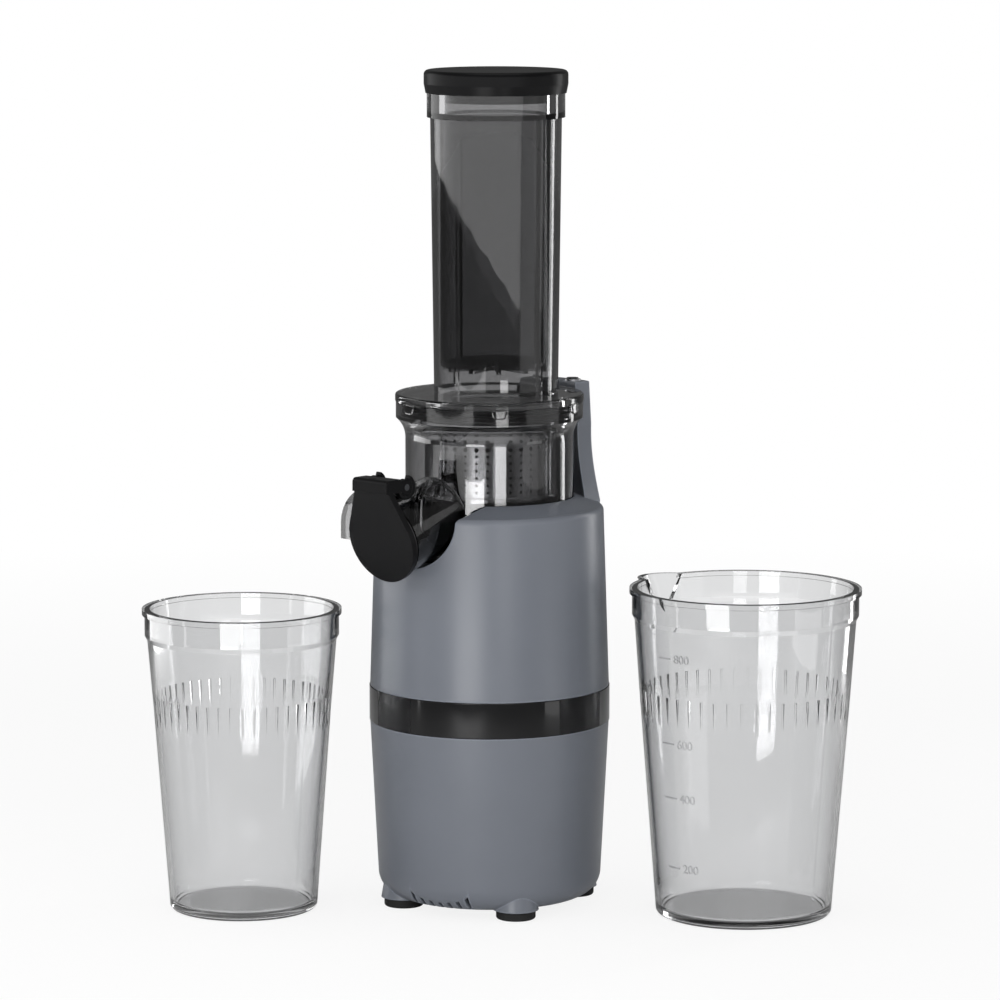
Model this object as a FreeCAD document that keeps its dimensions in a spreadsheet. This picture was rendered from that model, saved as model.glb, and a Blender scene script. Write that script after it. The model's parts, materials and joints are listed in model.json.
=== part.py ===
import FreeCAD, Part
import math
import os
import Sketcher

# A compact vertical slow juicer with its juice jug and pulp cup.
# Millimetres, +Z up, front towards -Y, floor at Z = 0.

DOC = FreeCAD.newDocument("cold_press_juicer")
SHEET = DOC.addObject("Spreadsheet::Sheet", "Sizes")

SIZES = {
    # feet and underside
    "foot_radius": 9.0,
    "foot_thickness": 4.2,
    "foot_circle": 41.0,
    "foot_turn": -31.0,
    "foot_stem_radius": 2.6,
    "foot_stem_length": 6.0,
    "foot_boss_radius": 10.4,
    "foot_boss_depth": 14.0,
    "cover_radius": 38.0,
    "cover_thickness": 2.4,
    "screw_circle": 33.5,
    "screw_radius": 1.5,
    "screw_head_radius": 2.8,
    "screw_length": 10.0,
    "post_radius": 3.8,
    "post_length": 18.0,
    "vent_width": 2.0,
    "vent_length": 7.0,
    "vent_pitch": 4.6,
    # round column of the motor base
    "housing_wall": 2.4,
    "foot_corner": 11.0,
    "housing_low_radius": 51.1,
    "housing_waist_radius": 54.7,
    "housing_rim_radius": 52.0,
    "band_low": 85.1,
    "band_height": 16.3,
    "band_thickness": 2.4,
    "band_proud": 0.3,
    "plate_thickness": 2.5,
    "rim_height": 184.0,
    "rim_corner": 2.6,
    "collar_height": 188.2,
    # well that holds the bowl
    "well_clearance": 0.4,
    "well_floor": 160.0,
    "shaft_seal_radius": 13.0,
    "scoop_radius": 22.0,
    "scoop_height": 182.2,
    "scoop_flare": 5.0,
    "chute_scoop_half": 14.5,
    # spine with the push buttons
    "spine_inner": 43.8,
    "spine_outer": 53.0,
    "spine_top": 237.5,
    "spine_half_top": 16.2,
    "spine_half_waist": 18.6,
    "spine_waist": 218.0,
    "spine_half_foot": 30.0,
    "spine_curve": 52.0,
    "spine_edge": 0.6,
    "button_spread": 8.5,
    "button_radius": 2.7,
    "button_proud": 1.2,
    "button_travel": 1.2,
    "button_length": 4.4,
    "button_stem_radius": 1.4,
    "button_ring_radius": 3.8,
    "button_ring_height": 1.7,
    "spine_cap": 6.5,
    "slot_width": 7.0,
    "slot_height": 3.0,
    "switch_height": 5.0,
    "switch_half_width": 3.0,
    "switch_thickness": 2.8,
    "board_clearance": 20.3,
    "board_thickness": 1.6,
    # motor
    "motor_radius": 34.0,
    "motor_wall": 1.6,
    "motor_length": 66.0,
    "end_cap_thickness": 5.0,
    "bearing_radius": 8.0,
    "bearing_width": 4.0,
    "rotor_shaft_radius": 3.0,
    "rotor_radius": 21.5,
    "rotor_length": 38.0,
    "magnet_inner": 23.0,
    "commutator_radius": 9.0,
    "commutator_length": 8.0,
    "fan_radius": 25.0,
    "fan_height": 6.0,
    "fan_blade": 1.6,
    # planetary gear train
    "gear_module": 1.5,
    "sun_teeth": 12,
    "planet_teeth": 15,
    "pressure_angle": 25.0,
    "tooth_play": 0.075,
    "gear_width": 10.0,
    "gear_gap": 1.0,
    "gearbox_radius": 37.5,
    "carrier_radius": 28.0,
    "carrier_thickness": 4.0,
    "pin_radius": 3.0,
    "gearbox_lid": 4.0,
    "bush_radius": 11.0,
    "bush_length": 15.0,
    "drive_radius": 7.0,
    "drive_flats": 12.0,
    "drive_top": 186.0,
    # fits
    "running_fit": 0.05,
    "seat_gap": 0.3,
    # juice bowl
    "bowl_radius": 38.3,
    "bowl_wall": 2.2,
    "bowl_rim_radius": 42.6,
    "bowl_rim_low": 224.3,
    "bowl_rim_top": 231.6,
    "bowl_cove": 9.3,
    "bowl_ledge": 226.0,
    "neck_radius": 11.5,
    "neck_wall": 2.0,
    "neck_height": 9.0,
    "plug_radius": 6.0,
    # juice spout and its cap
    "spout_root_radius": 16.6,
    "spout_tip_radius": 18.2,
    "spout_wall": 2.0,
    "spout_root_depth": 34.0,
    "spout_root_height": 184.3,
    "spout_length": 34.5,
    "spout_slope": 15.0,
    "hinge_depth": 66.0,
    "hinge_height": 199.2,
    "hinge_boss_radius": 3.2,
    "hinge_boss_half": 7.0,
    "hinge_pin_radius": 1.5,
    "cap_radius": 19.0,
    "cap_thickness": 3.0,
    "cap_arm_width": 3.0,
    "cap_neck_half": 10.2,
    "cap_seal_thickness": 1.6,
    "lever_half": 10.4,
    "lever_depth": 9.0,
    "lever_height": 6.0,
    # pulp spout
    "chute_half_width": 12.5,
    "chute_top": 186.5,
    "chute_floor": 164.0,
    "chute_reach": 82.0,
    "chute_tip": 161.5,
    "chute_curve": 18.0,
    # strainer
    "screen_radius": 29.4,
    "screen_thickness": 0.6,
    "screen_low": 188.0,
    "screen_top": 224.0,
    "screen_hole": 1.0,
    "screen_row_pitch": 4.6,
    "screen_first_row": 2.4,
    "frame_radius": 31.5,
    "frame_flange": 39.8,
    "frame_flange_thickness": 2.0,
    "frame_ring_top": 229.6,
    "frame_rib_width": 6.0,
    "frame_rib_turn": -39.3,
    "frame_floor": 2.5,
    "frame_floor_inner": 22.5,
    # auger
    "auger_gap": 0.6,
    "auger_foot_radius": 24.5,
    "auger_foot_height": 3.5,
    "auger_root_low": 20.5,
    "auger_root_top": 8.5,
    "auger_top": 226.0,
    "auger_pitch": 21.0,
    "flight_thickness": 3.2,
    "socket_radius": 9.5,
    "socket_length": 14.0,
    # lid with feed tube
    "lid_radius": 42.9,
    "lid_thickness": 3.4,
    "lid_skirt_radius": 39.0,
    "lid_skirt_wall": 2.0,
    "lid_skirt_depth": 3.0,
    "lid_seal_thickness": 1.0,
    "tube_offset": 4.5,
    "tube_low_radius": 28.2,
    "tube_top_radius": 29.8,
    "tube_wall": 2.2,
    "tube_top": 359.8,
    "guide_width": 2.4,
    "guide_depth": 1.6,
    # pusher
    "pusher_gap": 0.7,
    "pusher_low": 245.7,
    "pusher_wall": 2.0,
    "pusher_rib": 2.0,
    "collar_radius": 31.3,
    "collar_top": 371.0,
    "top_cap_radius": 32.7,
    "top_cap_height": 10.4,
    # juice jug and pulp cup
    "jug_x": 103.1,
    "jug_y": 58.5,
    "jug_height": 149.5,
    "jug_rim_radius": 52.5,
    "jug_belt_radius": 47.4,
    "jug_foot_radius": 40.0,
    "jug_belt_height": 97.0,
    "jug_lip": 15.0,
    "jug_lip_reach": 7.0,
    "cup_x": -73.9,
    "cup_y": -86.1,
    "cup_height": 138.5,
    "cup_rim_radius": 45.35,
    "cup_belt_radius": 40.3,
    "cup_foot_radius": 33.7,
    "cup_belt_height": 92.0,
    "cup_wall": 2.2,
    "cup_bead": 2.4,
    "belt_width": 14.5,
    "belt_groove": 0.9,
}


class Size:
    """A length that carries both its value and the sheet formula it comes from."""

    def __init__(self, value, text):
        self.value = value
        self.text = text

    def __add__(self, other):
        other = as_size(other)
        return Size(self.value + other.value, f"({self.text} + {other.text})")

    def __sub__(self, other):
        other = as_size(other)
        return Size(self.value - other.value, f"({self.text} - {other.text})")

    def __mul__(self, other):
        other = as_size(other)
        return Size(self.value * other.value, f"({self.text} * {other.text})")

    def __truediv__(self, other):
        other = as_size(other)
        return Size(self.value / other.value, f"({self.text} / {other.text})")

    def __radd__(self, other):
        return as_size(other) + self

    def __rsub__(self, other):
        return as_size(other) - self

    def __rmul__(self, other):
        return as_size(other) * self

    def __neg__(self):
        return Size(-self.value, f"(0 - {self.text})")


def as_size(number):
    """Take a plain number or a Size and give a Size."""
    return number if isinstance(number, Size) else Size(number, repr(number))


def cosine(angle):
    """Cosine of an angle in degrees, kept as a formula."""
    angle = as_size(angle)
    return Size(math.cos(math.radians(angle.value)), f"cos({angle.text})")


def sine(angle):
    """Sine of an angle in degrees, kept as a formula."""
    angle = as_size(angle)
    return Size(math.sin(math.radians(angle.value)), f"sin({angle.text})")


def root(size):
    """Square root, kept as a formula."""
    return Size(math.sqrt(size.value), f"sqrt({size.text})")


class Dimensions:
    """The sheet's cells as attributes, one for each driving dimension."""

    def __init__(self, sizes):
        for row, (name, number) in enumerate(sizes.items(), start=1):
            SHEET.set(f"A{row}", name)
            SHEET.set(f"B{row}", str(number))
            SHEET.setAlias(f"B{row}", name)
            setattr(self, name, Size(number, f"Sizes.{name}"))


dim = Dimensions(SIZES)
DOC.recompute()

# Places that several pieces share
juicer_x = -(dim.cup_x - dim.cup_rim_radius + dim.jug_x + dim.jug_rim_radius) / 2
juicer_y = -(dim.cup_y - dim.cup_rim_radius + dim.jug_y + dim.jug_rim_radius) / 2
JUICER = (juicer_x, juicer_y)
JUG = (juicer_x + dim.jug_x, juicer_y + dim.jug_y)
CUP = (juicer_x + dim.cup_x, juicer_y + dim.cup_y)

band_top = dim.band_low + dim.band_height
band_outer = dim.housing_waist_radius + dim.band_proud
neck_outer = band_outer - dim.band_thickness
neck_inner = neck_outer - dim.housing_wall
plate_low = dim.band_low + dim.band_height / 2 - dim.plate_thickness / 2
plate_top = plate_low + dim.plate_thickness
well_radius = dim.bowl_radius + dim.well_clearance
well_underside = dim.well_floor - dim.housing_wall
spine_middle = (dim.spine_inner + dim.spine_outer) / 2
cavity_inner = dim.spine_inner + dim.housing_wall
cavity_outer = dim.spine_outer - dim.housing_wall
spine_root = dim.rim_height - 3 * dim.housing_wall
cavity_low = spine_root - 4 * dim.housing_wall
collar_foot = dim.housing_rim_radius - dim.rim_corner
collar_slope = (dim.collar_height - dim.rim_height) / (collar_foot - well_radius)
collar_drop = 1.6 * dim.housing_wall * root(1 + collar_slope * collar_slope)

motor_top = plate_low
motor_low = motor_top - dim.motor_length
rotor_low = motor_low + dim.end_cap_thickness + dim.commutator_length * 2
gland_radius = dim.foot_radius * 0.7
gland_height = dim.foot_thickness + dim.foot_corner * 2
gear_low = plate_top + 2 * dim.gear_gap
gear_top = gear_low + dim.gear_width
carrier_low = gear_top + dim.gear_gap
carrier_top = carrier_low + dim.carrier_thickness
gearbox_top = carrier_top + dim.gear_gap
bush_low = gearbox_top + dim.seat_gap
bush_top = bush_low + dim.bush_length
pitch_scale = dim.gear_module / 2
sun_pitch = dim.sun_teeth * pitch_scale
planet_pitch = dim.planet_teeth * pitch_scale
planet_circle = sun_pitch + planet_pitch

bowl_low = dim.well_floor + dim.seat_gap
bowl_floor = bowl_low + dim.bowl_wall
bowl_inner = dim.bowl_radius - dim.bowl_wall
rim_inner = dim.bowl_rim_radius - dim.bowl_wall
neck_top = bowl_floor + dim.neck_height
frame_low = bowl_floor + dim.seat_gap
flange_low = dim.bowl_ledge + dim.seat_gap
flange_top = flange_low + dim.frame_flange_thickness
screen_inner = dim.screen_radius - dim.screen_thickness
auger_low = frame_low + dim.frame_floor + dim.seat_gap
auger_radius = screen_inner - dim.auger_gap
socket_low = neck_top + dim.seat_gap * 2
socket_top = socket_low + dim.socket_length
lid_low = dim.bowl_rim_top + dim.seat_gap
lid_top = lid_low + dim.lid_thickness
tube_low_bore = dim.tube_low_radius - dim.tube_wall
tube_top_bore = dim.tube_top_radius - dim.tube_wall
pusher_radius = tube_low_bore - dim.pusher_gap
collar_low = dim.tube_top + dim.seat_gap
button_depth = root(spine_middle * spine_middle - dim.button_spread * dim.button_spread)
BUTTON_SPOTS = [(dim.button_spread * turn, button_depth) for turn in (1, -1)]


def column_radius(height):
    """Outer radius of the lower housing's tapered wall at a height."""
    low = dim.foot_thickness + dim.foot_corner
    slope = (dim.housing_waist_radius - dim.housing_low_radius) / (dim.band_low - low)
    return dim.housing_low_radius + slope * (height - low)


def shoulder_radius(height):
    """Outer radius of the upper housing's tapered wall at a height."""
    slope = (dim.housing_rim_radius - dim.housing_waist_radius) / (dim.rim_height - band_top)
    return dim.housing_waist_radius + slope * (height - band_top)


# Helpers that build and place the pieces
SUB_PARTS = []


def place(item, spot, height=0):
    """Stand a finished sub-part at its spot in the common frame."""
    for axis, size in zip("xyz", (spot[0], spot[1], as_size(height))):
        item.setExpression(f"Placement.Base.{axis}", size.text)


def finish(item, name, spot=JUICER):
    """Give a sub-part its name and place, and list it for export."""
    item.Label = name
    place(item, spot)
    SUB_PARTS.append(item)
    return item


def new_body(name):
    """Start a body that features are added to."""
    return DOC.addObject("PartDesign::Body", name)


def origin_plane(body, role):
    """One of the body's own three planes."""
    return next(p for p in body.Origin.OriginFeatures if p.Role == role)


def new_sketch(body, role, offset=0, across=0):
    """A sketch on an origin plane of the body, moved along its normal and its own x."""
    sketch = body.newObject("Sketcher::SketchObject", "Outline")
    sketch.AttachmentSupport = [(origin_plane(body, role), "")]
    sketch.MapMode = "FlatFace"
    sketch.setExpression("AttachmentOffset.Base.z", as_size(offset).text)
    sketch.setExpression("AttachmentOffset.Base.x", as_size(across).text)
    return sketch


def side(start, end, radius):
    """A line, or an arc when there is a radius: anticlockwise if it is positive."""
    first = FreeCAD.Vector(start[0].value, start[1].value, 0)
    last = FreeCAD.Vector(end[0].value, end[1].value, 0)
    if radius is None:
        return Part.LineSegment(first, last), 1, 2
    size = abs(radius.value)
    chord = last - first
    rise = math.sqrt(max(size**2 - (chord.Length / 2) ** 2, 0))
    left = FreeCAD.Vector(-chord.y, chord.x, 0).normalize()
    turn = 1 if radius.value > 0 else -1
    centre = (first + last) / 2 + left * (rise * turn)
    begin, close = (first, last) if turn > 0 else (last, first)
    angles = [math.atan2(p.y - centre.y, p.x - centre.x) for p in (begin, close)]
    if angles[1] <= angles[0]:
        angles[1] += 2 * math.pi
    circle = Part.Circle(centre, FreeCAD.Vector(0, 0, 1), size)
    ends = (1, 2) if turn > 0 else (2, 1)
    return Part.ArcOfCircle(circle, *angles), *ends


def outline(sketch, corners):
    """Draw a closed outline; a corner's third entry is the radius of the arc that leaves it."""
    corners = [tuple(as_size(entry) for entry in corner) for corner in corners]
    sides = []
    for here, there in zip(corners, corners[1:] + corners[:1]):
        radius = here[2] if len(here) > 2 else None
        shape, begin, close = side(here, there, radius)
        sides.append((sketch.addGeometry(shape), begin, close, radius))
    links, formulas = [], []
    for (mine, _, close, _), (other, begin, _, _) in zip(sides, sides[1:] + sides[:1]):
        links.append(Sketcher.Constraint("Coincident", mine, close, other, begin))
    for (mine, begin, _, radius), corner in zip(sides, corners):
        for kind, size in (("DistanceX", corner[0]), ("DistanceY", corner[1])):
            links.append(Sketcher.Constraint(kind, -1, 1, mine, begin, size.value))
            formulas.append((len(links) - 1, size.text))
        if radius is not None:
            size = radius if radius.value > 0 else -radius
            links.append(Sketcher.Constraint("Radius", mine, size.value))
            formulas.append((len(links) - 1, size.text))
    first = sketch.ConstraintCount
    sketch.addConstraint(links)
    for index, text in formulas:
        sketch.setExpression(f"Constraints[{first + index}]", text)
    return sketch


def round_outline(sketch, spots, radius):
    """Draw circles of one radius, centred at the spots."""
    radius = as_size(radius)
    for spot in spots:
        east, north = (as_size(entry) for entry in spot)
        centre = FreeCAD.Vector(east.value, north.value, 0)
        circle = Part.Circle(centre, FreeCAD.Vector(0, 0, 1), radius.value)
        mine = sketch.addGeometry(circle)
        first = sketch.ConstraintCount
        sketch.addConstraint(
            [
                Sketcher.Constraint("Radius", mine, radius.value),
                Sketcher.Constraint("DistanceX", -1, 1, mine, 3, east.value),
                Sketcher.Constraint("DistanceY", -1, 1, mine, 3, north.value),
            ]
        )
        for step, size in enumerate((radius, east, north)):
            sketch.setExpression(f"Constraints[{first + step}]", size.text)
    return sketch


def feature(body, kind, sketch, **settings):
    """Add one feature of the sketch to the body, with plain settings or formulas."""
    item = body.newObject(f"PartDesign::{kind}", kind)
    item.Profile = sketch
    for name, setting in settings.items():
        if isinstance(setting, Size):
            item.setExpression(name, setting.text)
        else:
            setattr(item, name, setting)
    return item


def turned(body, corners, across=0, plane="XZ_Plane", cut=False, angle=360.0):
    """Turn an outline in an upright plane round its own vertical axis."""
    sketch = outline(new_sketch(body, plane, across=across), corners)
    kind = "Groove" if cut else "Revolution"
    axis = (sketch, ["V_Axis"])
    return feature(body, kind, sketch, ReferenceAxis=axis, Angle=angle, Midplane=angle < 360)


def raised(body, sketch, length, **settings):
    """Pad a sketch by a length."""
    return feature(body, "Pad", sketch, Length=as_size(length), **settings)


def cut_in(body, sketch, length, **settings):
    """Cut a sketch into the body to a depth."""
    return feature(body, "Pocket", sketch, Length=as_size(length), **settings)


def around(body, originals, count, angle=360.0):
    """Repeat features round the body's vertical axis."""
    pattern = body.newObject("PartDesign::PolarPattern", "PolarPattern")
    pattern.Originals = originals
    vertical = next(p for p in body.Origin.OriginFeatures if p.Role == "Z_Axis")
    pattern.Axis = (vertical, [""])
    pattern.Angle = angle
    pattern.Occurrences = count
    body.Tip = pattern
    return pattern


def rounded(body, test, radius):
    """Round the body's edges that pass a test on their middle point and length."""
    DOC.recompute()
    base = body.Tip
    names = [f"Edge{i}" for i, edge in enumerate(base.Shape.Edges, start=1) if test(edge)]
    fillet = body.newObject("PartDesign::Fillet", "Fillet")
    fillet.Base = (base, names)
    fillet.setExpression("Radius", as_size(radius).text)
    return fillet


def ring(name, inner, outer, low, top, spot=JUICER):
    """A plain ring or bush."""
    body = new_body(name)
    turned(body, [(inner, low), (outer, low), (outer, top), (inner, top)])
    return finish(body, name, spot)


def at(radius, angle):
    """The level point at a radius and an angle from +X."""
    return radius * cosine(angle), radius * sine(angle)


# Rubber feet, base cover and its screws
def rubber_feet():
    """Four rubber discs whose stems press into the housing's bosses."""
    edge = dim.foot_radius / 8
    for number in range(4):
        body = new_body(f"rubber_foot_{number + 1}")
        turned(
            body,
            [
                (0, 0),
                (dim.foot_radius - edge, 0, edge),
                (dim.foot_radius, edge),
                (dim.foot_radius, dim.foot_thickness),
                (dim.foot_stem_radius, dim.foot_thickness),
                (dim.foot_stem_radius, dim.foot_thickness + dim.foot_stem_length),
                (0, dim.foot_thickness + dim.foot_stem_length),
            ],
        )
        east, north = at(dim.foot_circle, dim.foot_turn + 90 * number)
        finish(body, f"rubber_foot_{number + 1}", (juicer_x + east, juicer_y + north))


def base_cover():
    """Round plate that closes the underside, with air slots under the fan."""
    body = new_body("base_cover")
    low, top = dim.foot_thickness, dim.foot_thickness + dim.cover_thickness
    turned(body, [(0, low), (dim.cover_radius, low), (dim.cover_radius, top), (0, top)])
    spots = [at(dim.screw_circle, dim.foot_turn + 45 + 90 * k) for k in range(4)]
    holes = round_outline(new_sketch(body, "XY_Plane", low), spots, dim.screw_radius * 1.2)
    cut_in(body, holes, dim.cover_thickness, Reversed=True)
    sinks = round_outline(new_sketch(body, "XY_Plane", low), spots, dim.screw_head_radius * 1.1)
    cut_in(body, sinks, dim.cover_thickness / 2, Reversed=True)
    half = dim.vent_width / 2
    inner, outer = dim.fan_radius * 0.45, dim.fan_radius * 1.05
    slot = outline(
        new_sketch(body, "XY_Plane", low),
        [(inner, -half), (outer, -half), (outer, half), (inner, half)],
    )
    around(body, [cut_in(body, slot, dim.cover_thickness, Reversed=True)], 16)
    finish(body, "base_cover")


def cover_screws():
    """Four screws that hold the base cover to the housing's posts."""
    body = new_body("cover_screws")
    head_low = dim.foot_thickness + 0.2
    seat = dim.foot_thickness + dim.cover_thickness / 2
    for number in range(4):
        spot = [at(dim.screw_circle, dim.foot_turn + 45 + 90 * number)]
        shank = round_outline(new_sketch(body, "XY_Plane", head_low), spot, dim.screw_radius)
        raised(body, shank, dim.screw_length)
        head = round_outline(new_sketch(body, "XY_Plane", head_low), spot, dim.screw_head_radius)
        raised(body, head, seat - head_low)
    finish(body, "cover_screws")


# Motor base: the two housings and the band between them
def lower_housing():
    """Tapered shell with a rounded foot edge, bosses for the feet and posts for the cover."""
    body = new_body("lower_housing")
    wall, low = dim.housing_wall, dim.foot_thickness
    bend = low + dim.foot_corner
    mouth = dim.cover_radius + dim.seat_gap
    flat = dim.housing_low_radius - dim.foot_corner
    ledge = dim.band_low - wall
    turned(
        body,
        [
            (mouth, low),
            (flat, low, dim.foot_corner),
            (dim.housing_low_radius, bend),
            (dim.housing_waist_radius, dim.band_low),
            (neck_outer, dim.band_low),
            (neck_outer, plate_low),
            (neck_inner, plate_low),
            (neck_inner, ledge),
            (column_radius(ledge) - wall, ledge - wall),
            (dim.housing_low_radius - wall, bend, wall - dim.foot_corner),
            (flat, low + wall),
            (mouth, low + wall),
        ],
    )
    spots = [at(dim.foot_circle, dim.foot_turn + 90 * number) for number in range(4)]
    boss = round_outline(new_sketch(body, "XY_Plane", low), spots, dim.foot_boss_radius)
    raised(body, boss, dim.foot_boss_depth, TaperAngle=-10.0)
    recess = round_outline(new_sketch(body, "XY_Plane", low), [(0, 0)], mouth)
    cut_in(body, recess, dim.cover_thickness, Reversed=True)
    stem = dim.foot_stem_radius + dim.running_fit
    hole = round_outline(new_sketch(body, "XY_Plane", low), spots, stem)
    cut_in(body, hole, dim.foot_stem_length + dim.seat_gap, Reversed=True)
    post_low = low + dim.cover_thickness
    for number in range(4):
        angle = dim.foot_turn + 45 + 90 * number
        post = round_outline(
            new_sketch(body, "XY_Plane", post_low), [at(dim.screw_circle, angle)], dim.post_radius
        )
        raised(body, post, dim.post_length)
        inner, outer = dim.screw_circle, dim.housing_low_radius - wall / 2
        half = wall / 2
        corners = []
        for along, over in ((inner, -half), (outer, -half), (outer, half), (inner, half)):
            east = along * cosine(angle) - over * sine(angle)
            north = along * sine(angle) + over * cosine(angle)
            corners.append((east, north))
        web = outline(new_sketch(body, "XY_Plane", low + dim.foot_corner), corners)
        raised(body, web, dim.post_length - dim.foot_corner + dim.cover_thickness)
    spots = [at(dim.screw_circle, dim.foot_turn + 45 + 90 * k) for k in range(4)]
    bore = round_outline(
        new_sketch(body, "XY_Plane", post_low), spots, dim.screw_radius + dim.running_fit
    )
    cut_in(body, bore, dim.screw_length, Reversed=True)
    middle = dim.foot_turn - 45
    for number in range(7):
        over = dim.vent_pitch * (number - 3)
        for facing in (middle, middle + 180):
            corners = []
            inner = dim.housing_low_radius - dim.foot_corner + wall / 2
            outer = inner + dim.vent_length
            half = dim.vent_width / 2
            for along, sideways in (
                (inner, over - half),
                (outer, over - half),
                (outer, over + half),
                (inner, over + half),
            ):
                east = along * cosine(facing) - sideways * sine(facing)
                north = along * sine(facing) + sideways * cosine(facing)
                corners.append((east, north))
            slot = outline(new_sketch(body, "XY_Plane", low), corners)
            cut_in(body, slot, dim.foot_corner, Reversed=True)
    gland = round_outline(new_sketch(body, "XZ_Plane"), [(0, gland_height)], gland_radius)
    cut_in(body, gland, dim.housing_waist_radius)
    finish(body, "lower_housing")


def cord_gland():
    """Rubber grommet in the back wall where a mains lead would enter."""
    body = new_body("cord_gland")
    wall_outer = column_radius(gland_height)
    flange = gland_radius + dim.housing_wall / 2
    flange_face = column_radius(gland_height + flange) + dim.seat_gap / 3
    flange_thickness = dim.housing_wall * 0.8
    neck = round_outline(
        new_sketch(body, "XZ_Plane", -wall_outer - 1), [(0, gland_height)], gland_radius - 0.1
    )
    raised(body, neck, dim.housing_wall * 2 + 2)
    outer = round_outline(
        new_sketch(body, "XZ_Plane", -flange_face - flange_thickness),
        [(0, gland_height)],
        flange,
    )
    raised(body, outer, flange_thickness)
    bore = round_outline(
        new_sketch(body, "XZ_Plane", -wall_outer - dim.housing_wall * 2),
        [(0, gland_height)],
        gland_radius / 2,
    )
    cut_in(body, bore, dim.housing_wall * 6, Reversed=True)
    finish(body, "cord_gland")


def decor_band():
    """Gloss band that hides the seam between the two housings."""
    body = new_body("decor_band")
    inner, edge = neck_outer, dim.band_proud
    turned(
        body,
        [
            (inner, dim.band_low),
            (band_outer - edge, dim.band_low),
            (band_outer, dim.band_low + edge),
            (band_outer, band_top - edge),
            (band_outer - edge, band_top),
            (inner, band_top),
        ],
    )
    finish(body, "decor_band")


def upper_housing():
    """Shoulder, bowl well and spine moulded as one shell, with scoops for the two spouts."""
    body = new_body("upper_housing")
    wall = dim.housing_wall
    turned(
        body,
        [
            (dim.spine_inner, spine_root),
            (dim.housing_rim_radius - wall / 2, spine_root),
            (dim.housing_rim_radius, dim.rim_height),
            (dim.spine_outer, dim.spine_top),
            (dim.spine_inner, dim.spine_top),
        ],
        plane="YZ_Plane",
        angle=80.0,
    )
    far = dim.spine_outer * 1.4
    for turn in (1, -1):
        flare = outline(
            new_sketch(body, "XZ_Plane"),
            [
                (dim.spine_half_top * turn, dim.spine_top + 1),
                (dim.spine_half_top * turn, dim.spine_top),
                (dim.spine_half_waist * turn, dim.spine_waist, dim.spine_curve * turn),
                (dim.spine_half_foot * turn, dim.rim_height),
                (dim.spine_half_foot * turn, spine_root - 1),
                (far * turn, spine_root - 1),
                (far * turn, dim.spine_top + 1),
            ],
        )
        cut_in(body, flare, far, Reversed=False, Type=1)
    top = dim.spine_top.value

    def crown(edge):
        return edge.BoundBox.ZMin > top - 0.01

    rounded(body, crown, dim.spine_edge)
    shell = [
        (neck_inner, plate_top),
        (neck_outer, plate_top),
        (neck_outer, band_top),
        (dim.housing_waist_radius, band_top),
        (shoulder_radius(dim.rim_height - dim.rim_corner), dim.rim_height - dim.rim_corner, dim.rim_corner),
        (dim.housing_rim_radius - dim.rim_corner, dim.rim_height),
        (well_radius, dim.collar_height),
        (well_radius, dim.well_floor),
        (dim.shaft_seal_radius, dim.well_floor),
        (dim.shaft_seal_radius, well_underside),
        (well_radius + wall, well_underside),
        (well_radius + wall, dim.collar_height - wall * collar_slope - collar_drop),
        (collar_foot - wall, dim.rim_height + wall * collar_slope - collar_drop),
        (shoulder_radius(band_top + wall) - wall, band_top + wall),
        (neck_inner, band_top),
    ]
    turned(body, shell)
    block = [
        (well_radius, well_underside - wall),
        (shoulder_radius(well_underside - wall) - wall / 2, well_underside - wall),
        (shoulder_radius(dim.rim_height - dim.rim_corner) - wall / 2, dim.rim_height - dim.rim_corner),
        (dim.housing_rim_radius - dim.rim_corner - wall, dim.rim_height - 0.6 * wall),
        (well_radius, dim.collar_height - wall),
    ]
    mirrored = [(-corner[0], corner[1]) for corner in block]
    turned(body, mirrored, plane="YZ_Plane", angle=72.0)
    turned(body, mirrored, plane="XZ_Plane", angle=52.0)
    low = dim.scoop_height - dim.scoop_radius
    high = dim.collar_height + dim.scoop_flare
    scoop = outline(
        new_sketch(body, "XZ_Plane"),
        [
            (-dim.scoop_radius, dim.scoop_height, dim.scoop_radius),
            (0, low, dim.scoop_radius),
            (dim.scoop_radius, dim.scoop_height),
            (dim.scoop_radius + dim.scoop_flare, high),
            (-dim.scoop_radius - dim.scoop_flare, high),
        ],
    )
    cut_in(body, scoop, far, Reversed=True)
    half, corner = dim.chute_scoop_half, dim.scoop_flare
    chute_low = dim.chute_floor - 2
    chute = outline(
        new_sketch(body, "YZ_Plane"),
        [
            (-half, high),
            (-half, chute_low + corner, corner),
            (-half + corner, chute_low),
            (half - corner, chute_low, corner),
            (half, chute_low + corner),
            (half, high),
        ],
    )
    cut_in(body, chute, far, Reversed=False)
    cavity_half = 30.0
    turned(
        body,
        [
            (cavity_inner, cavity_low),
            (cavity_outer, cavity_low),
            (cavity_outer, dim.spine_top - dim.spine_cap),
            (cavity_inner, dim.spine_top - dim.spine_cap),
        ],
        plane="YZ_Plane",
        cut=True,
        angle=cavity_half,
    )
    ring_seat = dim.button_ring_height - 0.5
    top_plane = dim.spine_top - dim.spine_cap
    for radius, depth in (
        (dim.button_ring_radius + dim.running_fit, ring_seat),
        (dim.button_radius + dim.running_fit, dim.button_length + dim.button_travel - dim.button_proud + 0.1),
        (dim.button_stem_radius + dim.running_fit, dim.spine_cap),
    ):
        hole = round_outline(new_sketch(body, "XY_Plane", dim.spine_top), BUTTON_SPOTS, radius)
        cut_in(body, hole, depth)
    slot_low = lid_top - dim.slot_height / 3
    half = dim.slot_width / 2
    slot = outline(
        new_sketch(body, "XZ_Plane", -dim.spine_inner - 1.6),
        [
            (-half, slot_low),
            (half, slot_low),
            (half, slot_low + dim.slot_height),
            (-half, slot_low + dim.slot_height),
        ],
    )
    cut_in(body, slot, dim.spine_inner / 2, Reversed=True)
    finish(body, "upper_housing")


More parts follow.
